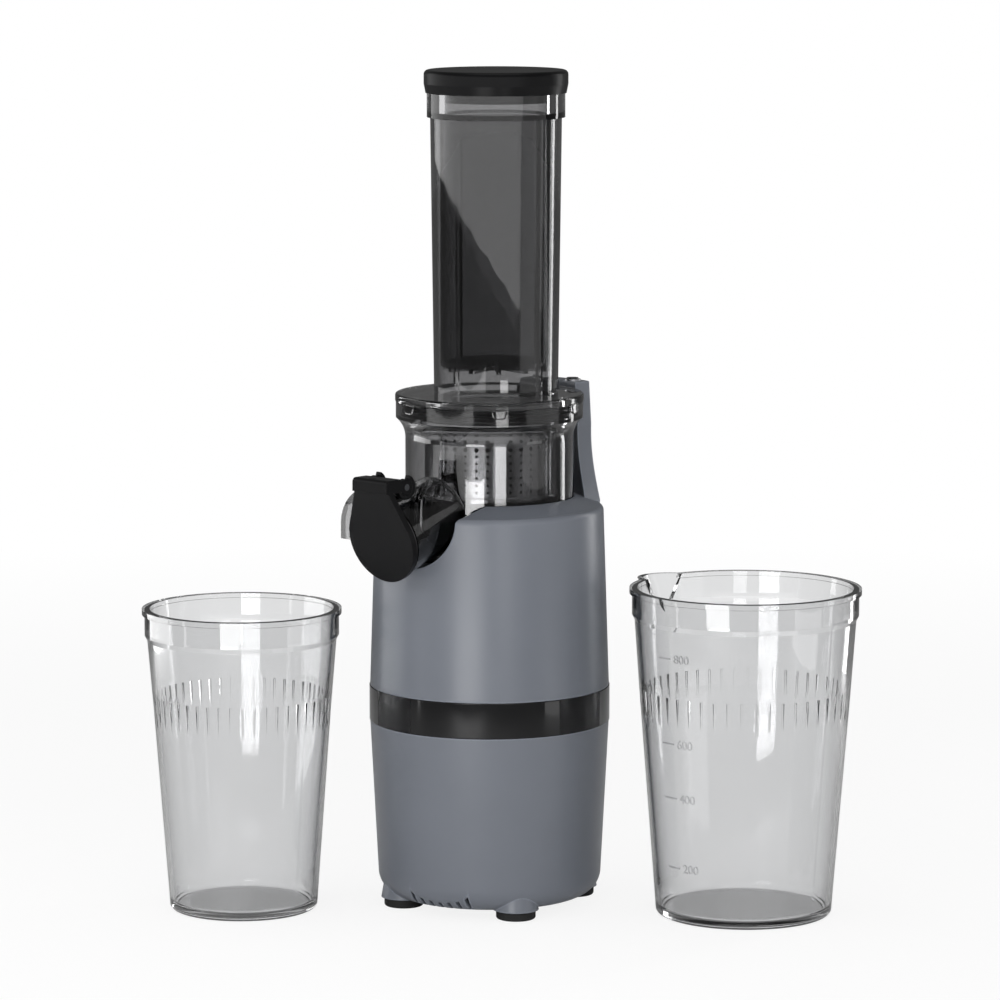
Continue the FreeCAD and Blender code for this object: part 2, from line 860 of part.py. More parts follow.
def mounting_plate():
    """Steel plate clamped between the housings; motor below, gearbox above."""
    body = new_body("mounting_plate")
    rim = neck_outer - dim.running_fit
    hub = dim.bearing_radius + dim.seat_gap
    turned(body, [(hub, plate_low), (rim, plate_low), (rim, plate_top), (hub, plate_top)])
    finish(body, "mounting_plate")


# Motor
def motor_shell():
    """Steel can with end caps, magnets and bearings."""
    can_inner = dim.motor_radius - dim.motor_wall
    cap = dim.end_cap_thickness
    ring("motor_can", can_inner, dim.motor_radius, motor_low + cap, motor_top - cap)
    shaft_hole = dim.rotor_shaft_radius + 1
    fit = dim.running_fit
    web = dim.motor_wall
    for name, back, front, seat in (
        ("lower_end_cap", motor_low, motor_low + cap, motor_low + web),
        ("upper_end_cap", motor_top, motor_top - cap, motor_top - web),
    ):
        body = new_body(name)
        corners = [
            (shaft_hole, back),
            (dim.motor_radius, back),
            (dim.motor_radius, front),
            (dim.bearing_radius + fit, front),
            (dim.bearing_radius + fit, seat),
            (shaft_hole, seat),
        ]
        turned(body, corners)
        finish(body, name)
    bore = dim.rotor_shaft_radius + fit
    low = motor_low + dim.motor_wall
    ring("lower_bearing", bore, dim.bearing_radius, low, low + dim.end_cap_thickness - dim.motor_wall)
    top = motor_top - dim.motor_wall
    ring("upper_bearing", bore, dim.bearing_radius, motor_top - cap, top)
    body = new_body("stator_magnets")
    low = rotor_low
    corners = [
        (dim.magnet_inner, low),
        (can_inner, low),
        (can_inner, low + dim.rotor_length),
        (dim.magnet_inner, low + dim.rotor_length),
    ]
    turned(body, corners, angle=140.0)
    turned(body, [(-east, north) for east, north in corners], angle=140.0)
    finish(body, "stator_magnets")


def rotor():
    """Everything that turns with the motor's shaft."""
    shaft_low = motor_low - dim.fan_height - dim.motor_wall
    body = new_body("rotor_shaft")
    radius = dim.rotor_shaft_radius
    turned(body, [(0, shaft_low), (radius, shaft_low), (radius, gear_top), (0, gear_top)])
    finish(body, "rotor_shaft")
    body = new_body("rotor_core")
    top = rotor_low + dim.rotor_length
    turned(body, [(radius, rotor_low), (dim.rotor_radius, rotor_low), (dim.rotor_radius, top), (radius, top)])
    groove = round_outline(
        new_sketch(body, "XY_Plane", rotor_low), [(dim.rotor_radius, 0)], dim.motor_wall
    )
    around(body, [cut_in(body, groove, dim.rotor_length, Reversed=True)], 12)
    finish(body, "rotor_core")
    low = motor_low + dim.end_cap_thickness + dim.commutator_length / 2
    ring("commutator", radius, dim.commutator_radius, low, low + dim.commutator_length)
    body = new_body("carbon_brushes")
    half = dim.commutator_length / 4
    middle = low + dim.commutator_length / 2
    for turn in (1, -1):
        inner = dim.commutator_radius + dim.running_fit
        outer = dim.motor_radius - dim.motor_wall - 0.2
        block = outline(
            new_sketch(body, "XZ_Plane", -half),
            [
                (inner * turn, middle - half),
                (outer * turn, middle - half),
                (outer * turn, middle + half),
                (inner * turn, middle + half),
            ],
        )
        raised(body, block, 2 * half)
    finish(body, "carbon_brushes")
    body = new_body("cooling_fan")
    hub = radius * 2
    low = shaft_low
    top = low + dim.fan_height
    web = dim.fan_blade
    turned(
        body,
        [
            (radius, low),
            (hub, low),
            (hub, top - web),
            (dim.fan_radius, top - web),
            (dim.fan_radius, top),
            (radius, top),
        ],
    )
    blade = outline(
        new_sketch(body, "XY_Plane", low),
        [
            (hub - 1, -web / 2),
            (dim.fan_radius * 0.94, -web / 2 + dim.fan_radius / 6),
            (dim.fan_radius * 0.94, web / 2 + dim.fan_radius / 6),
            (hub - 1, web / 2),
        ],
    )
    around(body, [raised(body, blade, dim.fan_height - web / 2)], 9)
    finish(body, "cooling_fan")


# Planetary gear train
def involute(angle):
    """The involute function of a pressure angle in radians."""
    return math.tan(angle) - angle


def gear_wire(teeth, inner, outer, play, turn=0.0):
    """Closed outline of involute teeth between two radii; the first tooth points to +X."""
    module = dim.gear_module.value
    pressure = math.radians(dim.pressure_angle.value)
    pitch = teeth * module / 2
    base = pitch * math.cos(pressure)
    middle = math.pi / (2 * teeth) - play / pitch + involute(pressure)

    def flank(radius):
        if radius <= base:
            return middle
        return middle - involute(math.acos(base / radius))

    def spot(radius, angle):
        return FreeCAD.Vector(radius * math.cos(angle), radius * math.sin(angle), 0)

    start = max(inner, base)
    half = (start + outer) / 2
    edges = []
    for number in range(teeth):
        heading = 2 * math.pi * number / teeth + turn
        pitch_angle = 2 * math.pi / teeth
        rising = [spot(r, heading - flank(r)) for r in (start, half, outer)]
        falling = [spot(r, heading + flank(r)) for r in (outer, half, start)]
        low_in = spot(inner, heading - flank(inner))
        low_out = spot(inner, heading + flank(inner))
        if start > inner:
            edges.append(Part.LineSegment(low_in, rising[0]).toShape())
        edges.append(Part.Arc(*rising).toShape())
        edges.append(Part.Arc(rising[2], spot(outer, heading), falling[0]).toShape())
        edges.append(Part.Arc(*falling).toShape())
        if start > inner:
            edges.append(Part.LineSegment(falling[2], low_out).toShape())
        following = spot(inner, heading + pitch_angle - flank(inner))
        edges.append(Part.Arc(low_out, spot(inner, heading + pitch_angle / 2), following).toShape())
    return Part.Wire(Part.__sortEdges__(edges))


def made_of(name, shape, spot=JUICER):
    """A sub-part whose form comes from Part's own functions and the sheet's values."""
    item = DOC.addObject("Part::Feature", name)
    item.Shape = shape.removeSplitter()
    return finish(item, name, spot)


def upright(radius, low, top, centre=(0, 0)):
    """A plain upright cylinder from the sheet's values."""
    radius, low, top = (as_size(size).value for size in (radius, low, top))
    foot = FreeCAD.Vector(centre[0], centre[1], low)
    return Part.makeCylinder(radius, top - low, foot)


def toothed(teeth, bore, turn=0.0):
    """An external gear with a round bore."""
    pitch = teeth * dim.gear_module.value / 2
    addendum = 0.8 * dim.gear_module.value
    dedendum = dim.gear_module.value
    wire = gear_wire(teeth, pitch - dedendum, pitch + addendum, dim.tooth_play.value, turn)
    blank = Part.Face(wire).extrude(FreeCAD.Vector(0, 0, dim.gear_width.value))
    blank.translate(FreeCAD.Vector(0, 0, gear_low.value))
    return blank.cut(upright(bore, gear_low - 1, gear_top + 1))


def gear_train():
    """Sun on the rotor, three planets on the carrier and a fixed toothed ring."""
    sun, planet = int(dim.sun_teeth.value), int(dim.planet_teeth.value)
    teeth = sun + 2 * planet
    made_of("sun_pinion", toothed(sun, dim.rotor_shaft_radius))
    for number in range(3):
        turn = math.radians(120 * number)
        east, north = at(planet_circle, 120 * number)
        gear = toothed(planet, dim.pin_radius + dim.running_fit, turn)
        spot = (juicer_x + east, juicer_y + north)
        made_of(f"planet_gear_{number + 1}", gear, spot)
    module = dim.gear_module.value
    pitch = teeth * module / 2
    space = gear_wire(teeth, pitch - 0.8 * module, pitch + module, -dim.tooth_play.value)
    depth = (carrier_low - plate_top).value
    hollow = Part.Face(space).extrude(FreeCAD.Vector(0, 0, depth))
    hollow.translate(FreeCAD.Vector(0, 0, plate_top.value))
    blank = upright(dim.gearbox_radius, plate_top, gearbox_top)
    above = upright(planet_circle + planet_pitch + dim.gear_module, carrier_low, gearbox_top)
    made_of("ring_gear", blank.cut(hollow).cut(above))
    gearbox_cover()
    carrier_and_shaft()


def gearbox_cover():
    """Lid of the gearbox with the boss that holds the output bush."""
    body = new_body("gearbox_cover")
    top = gearbox_top + dim.gearbox_lid
    boss = dim.bush_radius + dim.housing_wall
    bore = dim.bush_radius
    turned(
        body,
        [
            (bore, gearbox_top),
            (dim.gearbox_radius, gearbox_top),
            (dim.gearbox_radius, top),
            (boss, top),
            (boss, bush_top),
            (bore, bush_top),
        ],
    )
    finish(body, "gearbox_cover")
    ring("output_bush", dim.drive_radius + dim.running_fit, dim.bush_radius, bush_low, bush_top)


def hexagon(sketch, flats, turn=0):
    """A regular hexagon across its flats."""
    corner = flats / math.sqrt(3)
    return outline(sketch, [at(corner, 60 * k + turn) for k in range(6)])


def carrier_and_shaft():
    """Carrier disc with three pins, and the hexagonal shaft that drives the auger."""
    body = new_body("planet_carrier")
    turned(
        body,
        [
            (dim.drive_radius, carrier_low),
            (dim.carrier_radius, carrier_low),
            (dim.carrier_radius, carrier_top),
            (dim.drive_radius, carrier_top),
        ],
    )
    spots = [at(planet_circle, 120 * k) for k in range(3)]
    holes = round_outline(new_sketch(body, "XY_Plane", carrier_low), spots, dim.pin_radius)
    cut_in(body, holes, dim.carrier_thickness, Reversed=True)
    finish(body, "planet_carrier")
    body = new_body("planet_pins")
    pins = round_outline(new_sketch(body, "XY_Plane", gear_low), spots, dim.pin_radius)
    raised(body, pins, carrier_top - gear_low)
    finish(body, "planet_pins")
    body = new_body("drive_shaft")
    radius = dim.drive_radius
    shoulder = bush_top + dim.seat_gap
    turned(body, [(0, carrier_low), (radius, carrier_low), (radius, shoulder), (0, shoulder)])
    prism = hexagon(new_sketch(body, "XY_Plane", shoulder), dim.drive_flats)
    raised(body, prism, dim.drive_top - shoulder)
    finish(body, "drive_shaft")


# Controls in the spine
def controls():
    """Board, switches, chrome rings and the two push buttons."""
    body = new_body("button_rings")
    low = dim.spine_top - dim.button_ring_height + 0.5
    rings = round_outline(new_sketch(body, "XY_Plane", low), BUTTON_SPOTS, dim.button_ring_radius)
    raised(body, rings, dim.button_ring_height)
    bore = dim.button_radius + dim.running_fit
    holes = round_outline(new_sketch(body, "XY_Plane", low), BUTTON_SPOTS, bore)
    cut_in(body, holes, dim.button_ring_height, Reversed=True)
    finish(body, "button_rings")
    head_top = dim.spine_top + dim.button_proud
    head_low = head_top - dim.button_length
    stem_low = dim.spine_top - dim.spine_cap - 1
    for name, spot in zip(("start_button", "reverse_button"), BUTTON_SPOTS):
        body = new_body(name)
        head = round_outline(new_sketch(body, "XY_Plane", head_low), [spot], dim.button_radius)
        raised(body, head, dim.button_length)
        stem = round_outline(new_sketch(body, "XY_Plane", stem_low), [spot], dim.button_stem_radius)
        raised(body, stem, head_low - stem_low + 0.5)
        finish(body, name)
    body = new_body("button_switches")
    switch_top = stem_low - dim.button_travel - dim.seat_gap
    near = button_depth - dim.switch_thickness / 2
    far = button_depth + dim.switch_thickness / 2
    for turn in (1, -1):
        inner = (dim.button_spread - dim.switch_half_width) * turn
        outer = (dim.button_spread + dim.switch_half_width) * turn
        case = outline(
            new_sketch(body, "XY_Plane", switch_top - dim.switch_height),
            [(inner, near), (outer, near), (outer, far), (inner, far)],
        )
        raised(body, case, dim.switch_height)
    finish(body, "button_switches")
    body = new_body("control_board")
    board_top = switch_top - dim.switch_height
    board_low = cavity_low + dim.board_clearance
    half = dim.button_spread + dim.switch_half_width / 2
    near = spine_middle - dim.board_thickness / 2
    far = spine_middle + dim.board_thickness / 2
    board = outline(
        new_sketch(body, "XY_Plane", board_low),
        [(-half, near), (half, near), (half, far), (-half, far)],
    )
    raised(body, board, board_top - board_low)
    finish(body, "control_board")


def rubber_seals():
    """Lip seal round the drive shaft, bowl seal and lid seal."""
    corner = dim.drive_flats / math.sqrt(3)
    ring("shaft_seal", corner + dim.seat_gap, dim.shaft_seal_radius, well_underside, dim.well_floor)
    bore = dim.neck_radius - dim.neck_wall
    ring("bowl_seal", corner + dim.seat_gap, bore, bowl_low, bowl_low + dim.bowl_wall)
    low = lid_low - dim.lid_skirt_depth + dim.lid_seal_thickness
    outer = dim.lid_skirt_radius + dim.lid_seal_thickness
    ring("lid_seal", dim.lid_skirt_radius, outer, low, low + dim.lid_seal_thickness)


# Juice bowl with its two spouts
def tilted_cone(name, low_radius, high_radius, start, length):
    """A cone along the juice spout's slope, starting a distance in from its root."""
    slope = math.radians(dim.spout_slope.value)
    heading = FreeCAD.Vector(0, -math.cos(slope), -math.sin(slope))
    cone = DOC.addObject("Part::Cone", name)
    for setting, size in (("Radius1", low_radius), ("Radius2", high_radius), ("Height", length)):
        cone.setExpression(setting, as_size(size).text)
    foot = FreeCAD.Vector(0, -dim.spout_root_depth.value, dim.spout_root_height.value)
    foot += heading * as_size(start).value
    cone.Placement = FreeCAD.Placement(foot, FreeCAD.Rotation(FreeCAD.Vector(0, 0, 1), heading))
    return cone


def joined(name, items):
    """Fuse several objects."""
    fuse = DOC.addObject("Part::MultiFuse", name)
    fuse.Shapes = items
    return fuse


def minus(name, base, tool):
    """Cut one object out of another."""
    cut = DOC.addObject("Part::Cut", name)
    cut.Base = base
    cut.Tool = tool
    return cut


def chute_body(name, wall):
    """The pulp spout's beak, filled, drawn in by a wall on every side but its mouth."""
    body = new_body(name)
    wall = as_size(wall)
    top = dim.chute_top - wall
    floor = dim.chute_floor + wall
    reach = dim.chute_reach - wall
    curve = dim.chute_curve - wall
    near = bowl_inner - 1 if wall.value == 0 else bowl_inner - 4
    mouth_in = dim.chute_reach - dim.chute_curve * 1.4 + wall
    tip = dim.chute_tip - (1 if wall.value else 0)
    profile = outline(
        new_sketch(body, "XZ_Plane", -dim.chute_half_width + wall),
        [
            (-near, floor),
            (-near, top),
            (-(reach - curve), top, curve),
            (-reach, top - curve),
            (-reach, tip),
            (-mouth_in, tip),
            (-mouth_in, floor),
        ],
    )
    raised(body, profile, 2 * dim.chute_half_width - 2 * wall)
    return body


def juice_bowl():
    """Smoked bowl: round wall with a rim, a neck round the shaft, two spouts and a hinge boss."""
    wall = dim.bowl_wall
    outer = new_body("bowl_outside")
    turned(
        outer,
        [
            (0, bowl_low),
            (dim.bowl_radius - wall, bowl_low, wall),
            (dim.bowl_radius, bowl_low + wall),
            (dim.bowl_radius, dim.bowl_rim_low - dim.bowl_cove, dim.bowl_cove * -1.3),
            (dim.bowl_rim_radius, dim.bowl_rim_low),
            (dim.bowl_rim_radius, dim.bowl_rim_top),
            (0, dim.bowl_rim_top),
        ],
    )
    inner = new_body("bowl_inside")
    bore = dim.neck_radius - dim.neck_wall
    turned(
        inner,
        [
            (dim.neck_radius, bowl_floor),
            (bowl_inner, bowl_floor),
            (bowl_inner, dim.bowl_ledge),
            (rim_inner, dim.bowl_ledge),
            (rim_inner, dim.bowl_rim_top + 1),
            (0, dim.bowl_rim_top + 1),
            (0, neck_top),
            (dim.neck_radius, neck_top),
        ],
    )
    shaft_way = new_body("shaft_way")
    turned(shaft_way, [(0, bowl_low - 1), (bore, bowl_low - 1), (bore, neck_top + 1), (0, neck_top + 1)])
    spot = [(0, dim.frame_floor_inner)]
    plug_radius = dim.plug_radius + dim.running_fit
    plug_way = round_outline(new_sketch(shaft_way, "XY_Plane", bowl_low - 1), spot, plug_radius)
    raised(shaft_way, plug_way, 2 * wall)
    spout = tilted_cone("spout", dim.spout_root_radius, dim.spout_tip_radius, 0, dim.spout_length)
    thin = dim.spout_wall
    spout_bore = tilted_cone(
        "spout_bore", dim.spout_root_radius - thin, dim.spout_tip_radius - thin, -1, dim.spout_length + 2
    )
    boss = new_body("hinge_boss")
    web = outline(
        new_sketch(boss, "YZ_Plane", -dim.hinge_boss_half),
        [
            (-dim.hinge_depth - dim.hinge_boss_radius, dim.hinge_height),
            (-dim.hinge_depth - dim.hinge_boss_radius, dim.spout_root_height),
            (-dim.hinge_depth + dim.hinge_boss_radius, dim.spout_root_height),
            (-dim.hinge_depth + dim.hinge_boss_radius, dim.hinge_height),
        ],
    )
    raised(boss, web, 2 * dim.hinge_boss_half)
    eye = round_outline(
        new_sketch(boss, "YZ_Plane", -dim.hinge_boss_half),
        [(-dim.hinge_depth, dim.hinge_height)],
        dim.hinge_boss_radius,
    )
    raised(boss, eye, 2 * dim.hinge_boss_half)
    pin_way = round_outline(
        new_sketch(boss, "YZ_Plane", -dim.hinge_boss_half - 1),
        [(-dim.hinge_depth, dim.hinge_height)],
        dim.hinge_pin_radius + dim.running_fit,
    )
    cut_in(boss, pin_way, 2 * dim.hinge_boss_half + 2, Reversed=True)
    filled = joined("bowl_filled", [outer, spout, chute_body("chute", 0), boss])
    hollow = joined("bowl_hollow", [inner, shaft_way, spout_bore, chute_body("chute_bore", 2)])
    finish(minus("juice_bowl", filled, hollow), "juice_bowl")
    plug = new_body("pulp_plug")
    spot = [(0, dim.frame_floor_inner)]
    disc = round_outline(new_sketch(plug, "XY_Plane", bowl_low), spot, dim.plug_radius)
    raised(plug, disc, wall)
    finish(plug, "pulp_plug")


def spout_cap():
    """Black cap: round plate with a neck up to the thumb lever, two arms on the hinge pin."""
    slope = dim.spout_slope
    body = new_body("spout_cap")
    plate = body.newObject("Sketcher::SketchObject", "Outline")
    plate.AttachmentSupport = [(origin_plane(body, "XZ_Plane"), "")]
    plate.MapMode = "FlatFace"
    gap = dim.cap_seal_thickness + dim.seat_gap
    reach = dim.spout_length + gap
    deep = dim.spout_root_depth + reach * cosine(slope)
    high = dim.spout_root_height - reach * sine(slope)
    centre = FreeCAD.Vector(0, high.value, deep.value)
    tilt = FreeCAD.Rotation(FreeCAD.Vector(1, 0, 0), slope.value)
    plate.AttachmentOffset = FreeCAD.Placement(centre, tilt)
    neck, radius = dim.cap_neck_half, dim.cap_radius
    reach_up = dim.hinge_height - high
    span = neck * neck + reach_up * reach_up
    side_line = root(span - radius * radius)
    touch_x = (radius * radius * neck + radius * side_line * reach_up) / span
    touch_y = (radius * radius * reach_up - radius * side_line * neck) / span
    outline(
        plate,
        [
            (touch_x, touch_y),
            (neck, reach_up),
            (-neck, reach_up),
            (-touch_x, touch_y, radius),
            (-radius, 0, radius),
            (0, -radius, radius),
            (radius, 0, radius),
        ],
    )
    raised(body, plate, dim.cap_thickness)
    front = dim.hinge_depth + dim.hinge_boss_radius * 1.4 + dim.lever_depth
    back = dim.hinge_depth + dim.hinge_boss_radius * 1.4
    low = dim.hinge_height - dim.lever_height / 3
    lever = outline(
        new_sketch(body, "YZ_Plane", -dim.lever_half),
        [
            (-back, low),
            (-back, low + dim.lever_height),
            (-front + 2, low + dim.lever_height, dim.lever_height / 3),
            (-front, low + dim.lever_height - 2),
            (-front, low),
        ],
    )
    raised(body, lever, 2 * dim.lever_half)
    for turn in (0, 1):
        start = -dim.lever_half if turn == 0 else dim.lever_half - dim.cap_arm_width
        eye_radius = dim.hinge_boss_radius * 1.15
        arm = outline(
            new_sketch(body, "YZ_Plane", start),
            [
                (-back - 1, dim.hinge_height - eye_radius * 0.5),
                (-dim.hinge_depth, dim.hinge_height - eye_radius * 0.5),
                (-dim.hinge_depth, dim.hinge_height + eye_radius * 0.9),
                (-back - 1, dim.hinge_height + eye_radius * 0.9),
            ],
        )
        raised(body, arm, dim.cap_arm_width)
        eye = round_outline(
            new_sketch(body, "YZ_Plane", start), [(-dim.hinge_depth, dim.hinge_height)], eye_radius
        )
        raised(body, eye, dim.cap_arm_width)
    bore = round_outline(
        new_sketch(body, "YZ_Plane", -dim.lever_half - 1),
        [(-dim.hinge_depth, dim.hinge_height)],
        dim.hinge_pin_radius + dim.running_fit,
    )
    cut_in(body, bore, 2 * dim.lever_half + 2, Reversed=True)
    finish(body, "spout_cap")
    seal = tilted_cone(
        "cap_seal",
        dim.spout_tip_radius - 0.5,
        dim.spout_tip_radius - 0.5,
        dim.spout_length + dim.seat_gap,
        dim.cap_seal_thickness,
    )
    place_in_common(seal, "spout_cap_seal")
    body = new_body("spout_hinge_pin")
    pin = round_outline(
        new_sketch(body, "YZ_Plane", -dim.lever_half),
        [(-dim.hinge_depth, dim.hinge_height)],
        dim.hinge_pin_radius,
    )
    raised(body, pin, 2 * dim.lever_half)
    finish(body, "spout_hinge_pin")


def place_in_common(item, name):
    """Move a tilted primitive, which already has its own place, into the common frame."""
    item.Label = name
    here = item.Placement.Base
    for axis, spot, size in (("x", here.x, juicer_x), ("y", here.y, juicer_y)):
        item.setExpression(f"Placement.Base.{axis}", (size + spot).text)
    SUB_PARTS.append(item)


# Strainer and auger
def strainer():
    """Perforated steel screen in a moulded frame with six ribs."""
    body = new_body("strainer_frame")
    outer, inner = dim.frame_radius, screen_inner
    floor_top = frame_low + dim.frame_floor
    turned(
        body,
        [
            (dim.frame_floor_inner, frame_low),
            (outer, frame_low),
            (outer, dim.screen_low + dim.frame_floor),
            (dim.screen_radius, dim.screen_low + dim.frame_floor),
            (dim.screen_radius, dim.screen_low),
            (inner, dim.screen_low),
            (inner, floor_top),
            (dim.frame_floor_inner, floor_top),
        ],
    )
    ring_low = dim.screen_top - dim.frame_floor
    turned(
        body,
        [
            (dim.screen_radius, ring_low),
            (outer, ring_low),
            (outer, flange_low),
            (dim.frame_flange, flange_low),
            (dim.frame_flange, flange_top),
            (outer, flange_top),
            (outer, dim.frame_ring_top),
            (inner, dim.frame_ring_top),
            (inner, dim.screen_top),
            (dim.screen_radius, dim.screen_top),
        ],
    )
    rib_low = dim.screen_low + dim.frame_floor / 2
    rib = outline(new_sketch(body, "XY_Plane", rib_low), rib_corners())
    around(body, [raised(body, rib, dim.screen_top - dim.frame_floor / 2 - rib_low)], 6)
    half = dim.chute_half_width - 2.4
    gate_low = floor_top
    gate_top = dim.screen_low - dim.frame_floor
    gate = outline(
        new_sketch(body, "YZ_Plane", 0),
        [(-half, gate_low), (half, gate_low), (half, gate_top), (-half, gate_top)],
    )
    cut_in(body, gate, outer + 1, Reversed=False)
    finish(body, "strainer_frame")
    screen_mesh()


def rib_corners():
    """Plan of one rib behind the screen."""
    half = dim.frame_rib_width / 2
    near, far = dim.screen_radius + 0.2, dim.frame_radius - 0.4
    corners = []
    for along, over in ((near, -half), (far, -half), (far, half), (near, half)):
        angle = dim.frame_rib_turn
        east = along * cosine(angle) - over * sine(angle)
        north = along * sine(angle) + over * cosine(angle)
        corners.append((east, north))
    return corners


def screen_mesh():
    """Thin steel tube with three rows of holes between the ribs."""
    low, top = dim.screen_low.value, dim.screen_top.value
    tube = upright(dim.screen_radius, low, top).cut(upright(screen_inner, low - 1, top + 1))
    tools = []
    for row in range(3):
        height = top - dim.screen_first_row.value - row * dim.screen_row_pitch.value
        for column in range(36):
            if column % 6:
                angle = dim.frame_rib_turn.value + 10 * column
                heading = FreeCAD.Vector(
                    math.cos(math.radians(angle)), math.sin(math.radians(angle)), 0
                )
                start = heading * (screen_inner.value - 1)
                start.z = height
                tools.append(Part.makeCylinder(dim.screen_hole.value, 3, start, heading))
    made_of("strainer_screen", tube.cut(Part.makeCompound(tools)))


def auger():
    """Feeding screw: a core that thickens downwards, with one helical flight."""
    low = auger_low.value
    root_low = low + dim.auger_foot_height.value
    top = dim.auger_top.value
    core_points = [
        (0, low),
        (dim.auger_foot_radius.value, low),
        (dim.auger_foot_radius.value, root_low),
        (dim.auger_root_low.value, root_low + 2),
        (dim.auger_root_top.value, top - 4),
        (dim.auger_root_top.value * 0.55, top),
        (0, top),
    ]
    wire = Part.makePolygon([FreeCAD.Vector(x, 0, z) for x, z in core_points + core_points[:1]])
    core = Part.Face(wire).revolve(FreeCAD.Vector(), FreeCAD.Vector(0, 0, 1), 360)
    height = top - 8 - root_low
    inner, outer = dim.auger_root_top.value * 0.6, auger_radius.value
    half = dim.flight_thickness.value / 2
    helix = Part.makeHelix(dim.auger_pitch.value, height, outer)
    helix.translate(FreeCAD.Vector(0, 0, root_low + half))
    middle = root_low + half
    section = Part.makePolygon(
        [
            FreeCAD.Vector(inner, 0, middle - half * 1.8),
            FreeCAD.Vector(outer, 0, middle - half * 0.7),
            FreeCAD.Vector(outer, 0, middle + half * 0.7),
            FreeCAD.Vector(inner, 0, middle + half * 1.8),
            FreeCAD.Vector(inner, 0, middle - half * 1.8),
        ]
    )
    flight = Part.Wire(helix.Edges).makePipeShell([section], True, True)
    solid = core.fuse(flight)
    solid = solid.cut(upright(dim.socket_radius, low - 1, socket_top))
    solid = solid.cut(upright(dim.neck_radius + 1, low - 1, socket_low))
    made_of("auger", solid)
    body = new_body("auger_socket")
    hole = dim.drive_flats + dim.seat_gap
    outer = dim.socket_radius
    turned(body, [(0, socket_low), (outer, socket_low), (outer, socket_top), (0, socket_top)])
    way = hexagon(new_sketch(body, "XY_Plane", socket_low), hole)
    cut_in(body, way, dim.drive_top - socket_low + dim.seat_gap, Reversed=True)
    finish(body, "auger_socket")


# Lid, feed tube and pusher
def lid_feed_tube():
    """Round lid with a tall feed tube standing a little behind its middle."""
    body = new_body("lid_feed_tube")
    skirt = dim.lid_skirt_radius - dim.lid_skirt_wall
    low = lid_low - dim.lid_skirt_depth
    turned(
        body,
        [
            (0, lid_low),
            (skirt, lid_low),
            (skirt, low),
            (dim.lid_skirt_radius, low),
            (dim.lid_skirt_radius, lid_low),
            (dim.lid_radius, lid_low),
            (dim.lid_radius, lid_top - 1, 1),
            (dim.lid_radius - 1, lid_top),
            (0, lid_top),
        ],
    )
    turned(
        body,
        [
            (0, lid_low + 1),
            (dim.tube_low_radius, lid_low + 1),
            (dim.tube_top_radius, dim.tube_top),
            (0, dim.tube_top),
        ],
        across=dim.tube_offset,
        plane="YZ_Plane",
    )
    turned(
        body,
        [
            (0, lid_low - 1),
            (tube_low_bore, lid_low - 1),
            (tube_top_bore, dim.tube_top + 1),
            (0, dim.tube_top + 1),
        ],
        across=dim.tube_offset,
        plane="YZ_Plane",
        cut=True,
    )
    half = dim.guide_width / 2
    for turn in (1, -1):
        guide = outline(
            new_sketch(body, "XY_Plane", lid_low),
            [
                ((tube_low_bore - dim.guide_depth) * turn, dim.tube_offset - half),
                ((dim.tube_low_radius - 0.4) * turn, dim.tube_offset - half),
                ((dim.tube_low_radius - 0.4) * turn, dim.tube_offset + half),
                ((tube_low_bore - dim.guide_depth) * turn, dim.tube_offset + half),
            ],
        )
        raised(body, guide, dim.tube_top - lid_low)
    finish(body, "lid_feed_tube")


def pusher():
    """Hollow pusher with a collar that rests on the tube, closed by a black cap."""
    body = new_body("pusher_body")
    outer, wall = pusher_radius, dim.pusher_wall
    floor = dim.pusher_low + dim.pusher_rib
    turned(
        body,
        [
            (0, floor),
            (outer, floor),
            (outer, collar_low - wall),
            (outer, collar_low + wall),
            (dim.collar_radius, collar_low),
            (dim.collar_radius, dim.collar_top),
            (outer - wall, dim.collar_top),
            (outer - wall, floor + wall),
            (0, floor + wall),
        ],
        across=dim.tube_offset,
        plane="YZ_Plane",
    )
    ribs = []
    half = wall / 2
    for number in range(6):
        corners = []
        angle = 30 * number + 15
        for along, over in ((-outer + 1, -half), (outer - 1, -half), (outer - 1, half), (-outer + 1, half)):
            east = along * cosine(angle) - over * sine(angle)
            north = along * sine(angle) + over * cosine(angle) + dim.tube_offset
            corners.append((east, north))
        rib = outline(new_sketch(body, "XY_Plane", dim.pusher_low), corners)
        ribs.append(raised(body, rib, dim.pusher_rib + wall / 2))
    half = dim.guide_width / 2 + dim.pusher_gap
    deep = dim.guide_depth + dim.pusher_gap
    for turn in (1, -1):
        groove = outline(
            new_sketch(body, "XY_Plane", dim.pusher_low - 1),
            [
                ((tube_low_bore - deep) * turn, dim.tube_offset - half),
                ((tube_top_bore + 1) * turn, dim.tube_offset - half),
                ((tube_top_bore + 1) * turn, dim.tube_offset + half),
                ((tube_low_bore - deep) * turn, dim.tube_offset + half),
            ],
        )
        cut_in(body, groove, collar_low - dim.pusher_low + 1, Reversed=True)
    finish(body, "pusher_body")
    body = new_body("pusher_cap")
    top = dim.collar_top + dim.top_cap_height
    edge = dim.top_cap_height / 5
    plug = outer - wall - dim.running_fit
    turned(
        body,
        [
            (0, dim.collar_top - 2 * wall),
            (plug, dim.collar_top - 2 * wall),
            (plug, dim.collar_top),
            (dim.top_cap_radius - 0.8, dim.collar_top),
            (dim.top_cap_radius, dim.collar_top + 2 * edge),
            (dim.top_cap_radius, top - edge, edge),
            (dim.top_cap_radius - edge, top),
            (0, top),
        ],
        across=dim.tube_offset,
        plane="YZ_Plane",
    )
    finish(body, "pusher_cap")


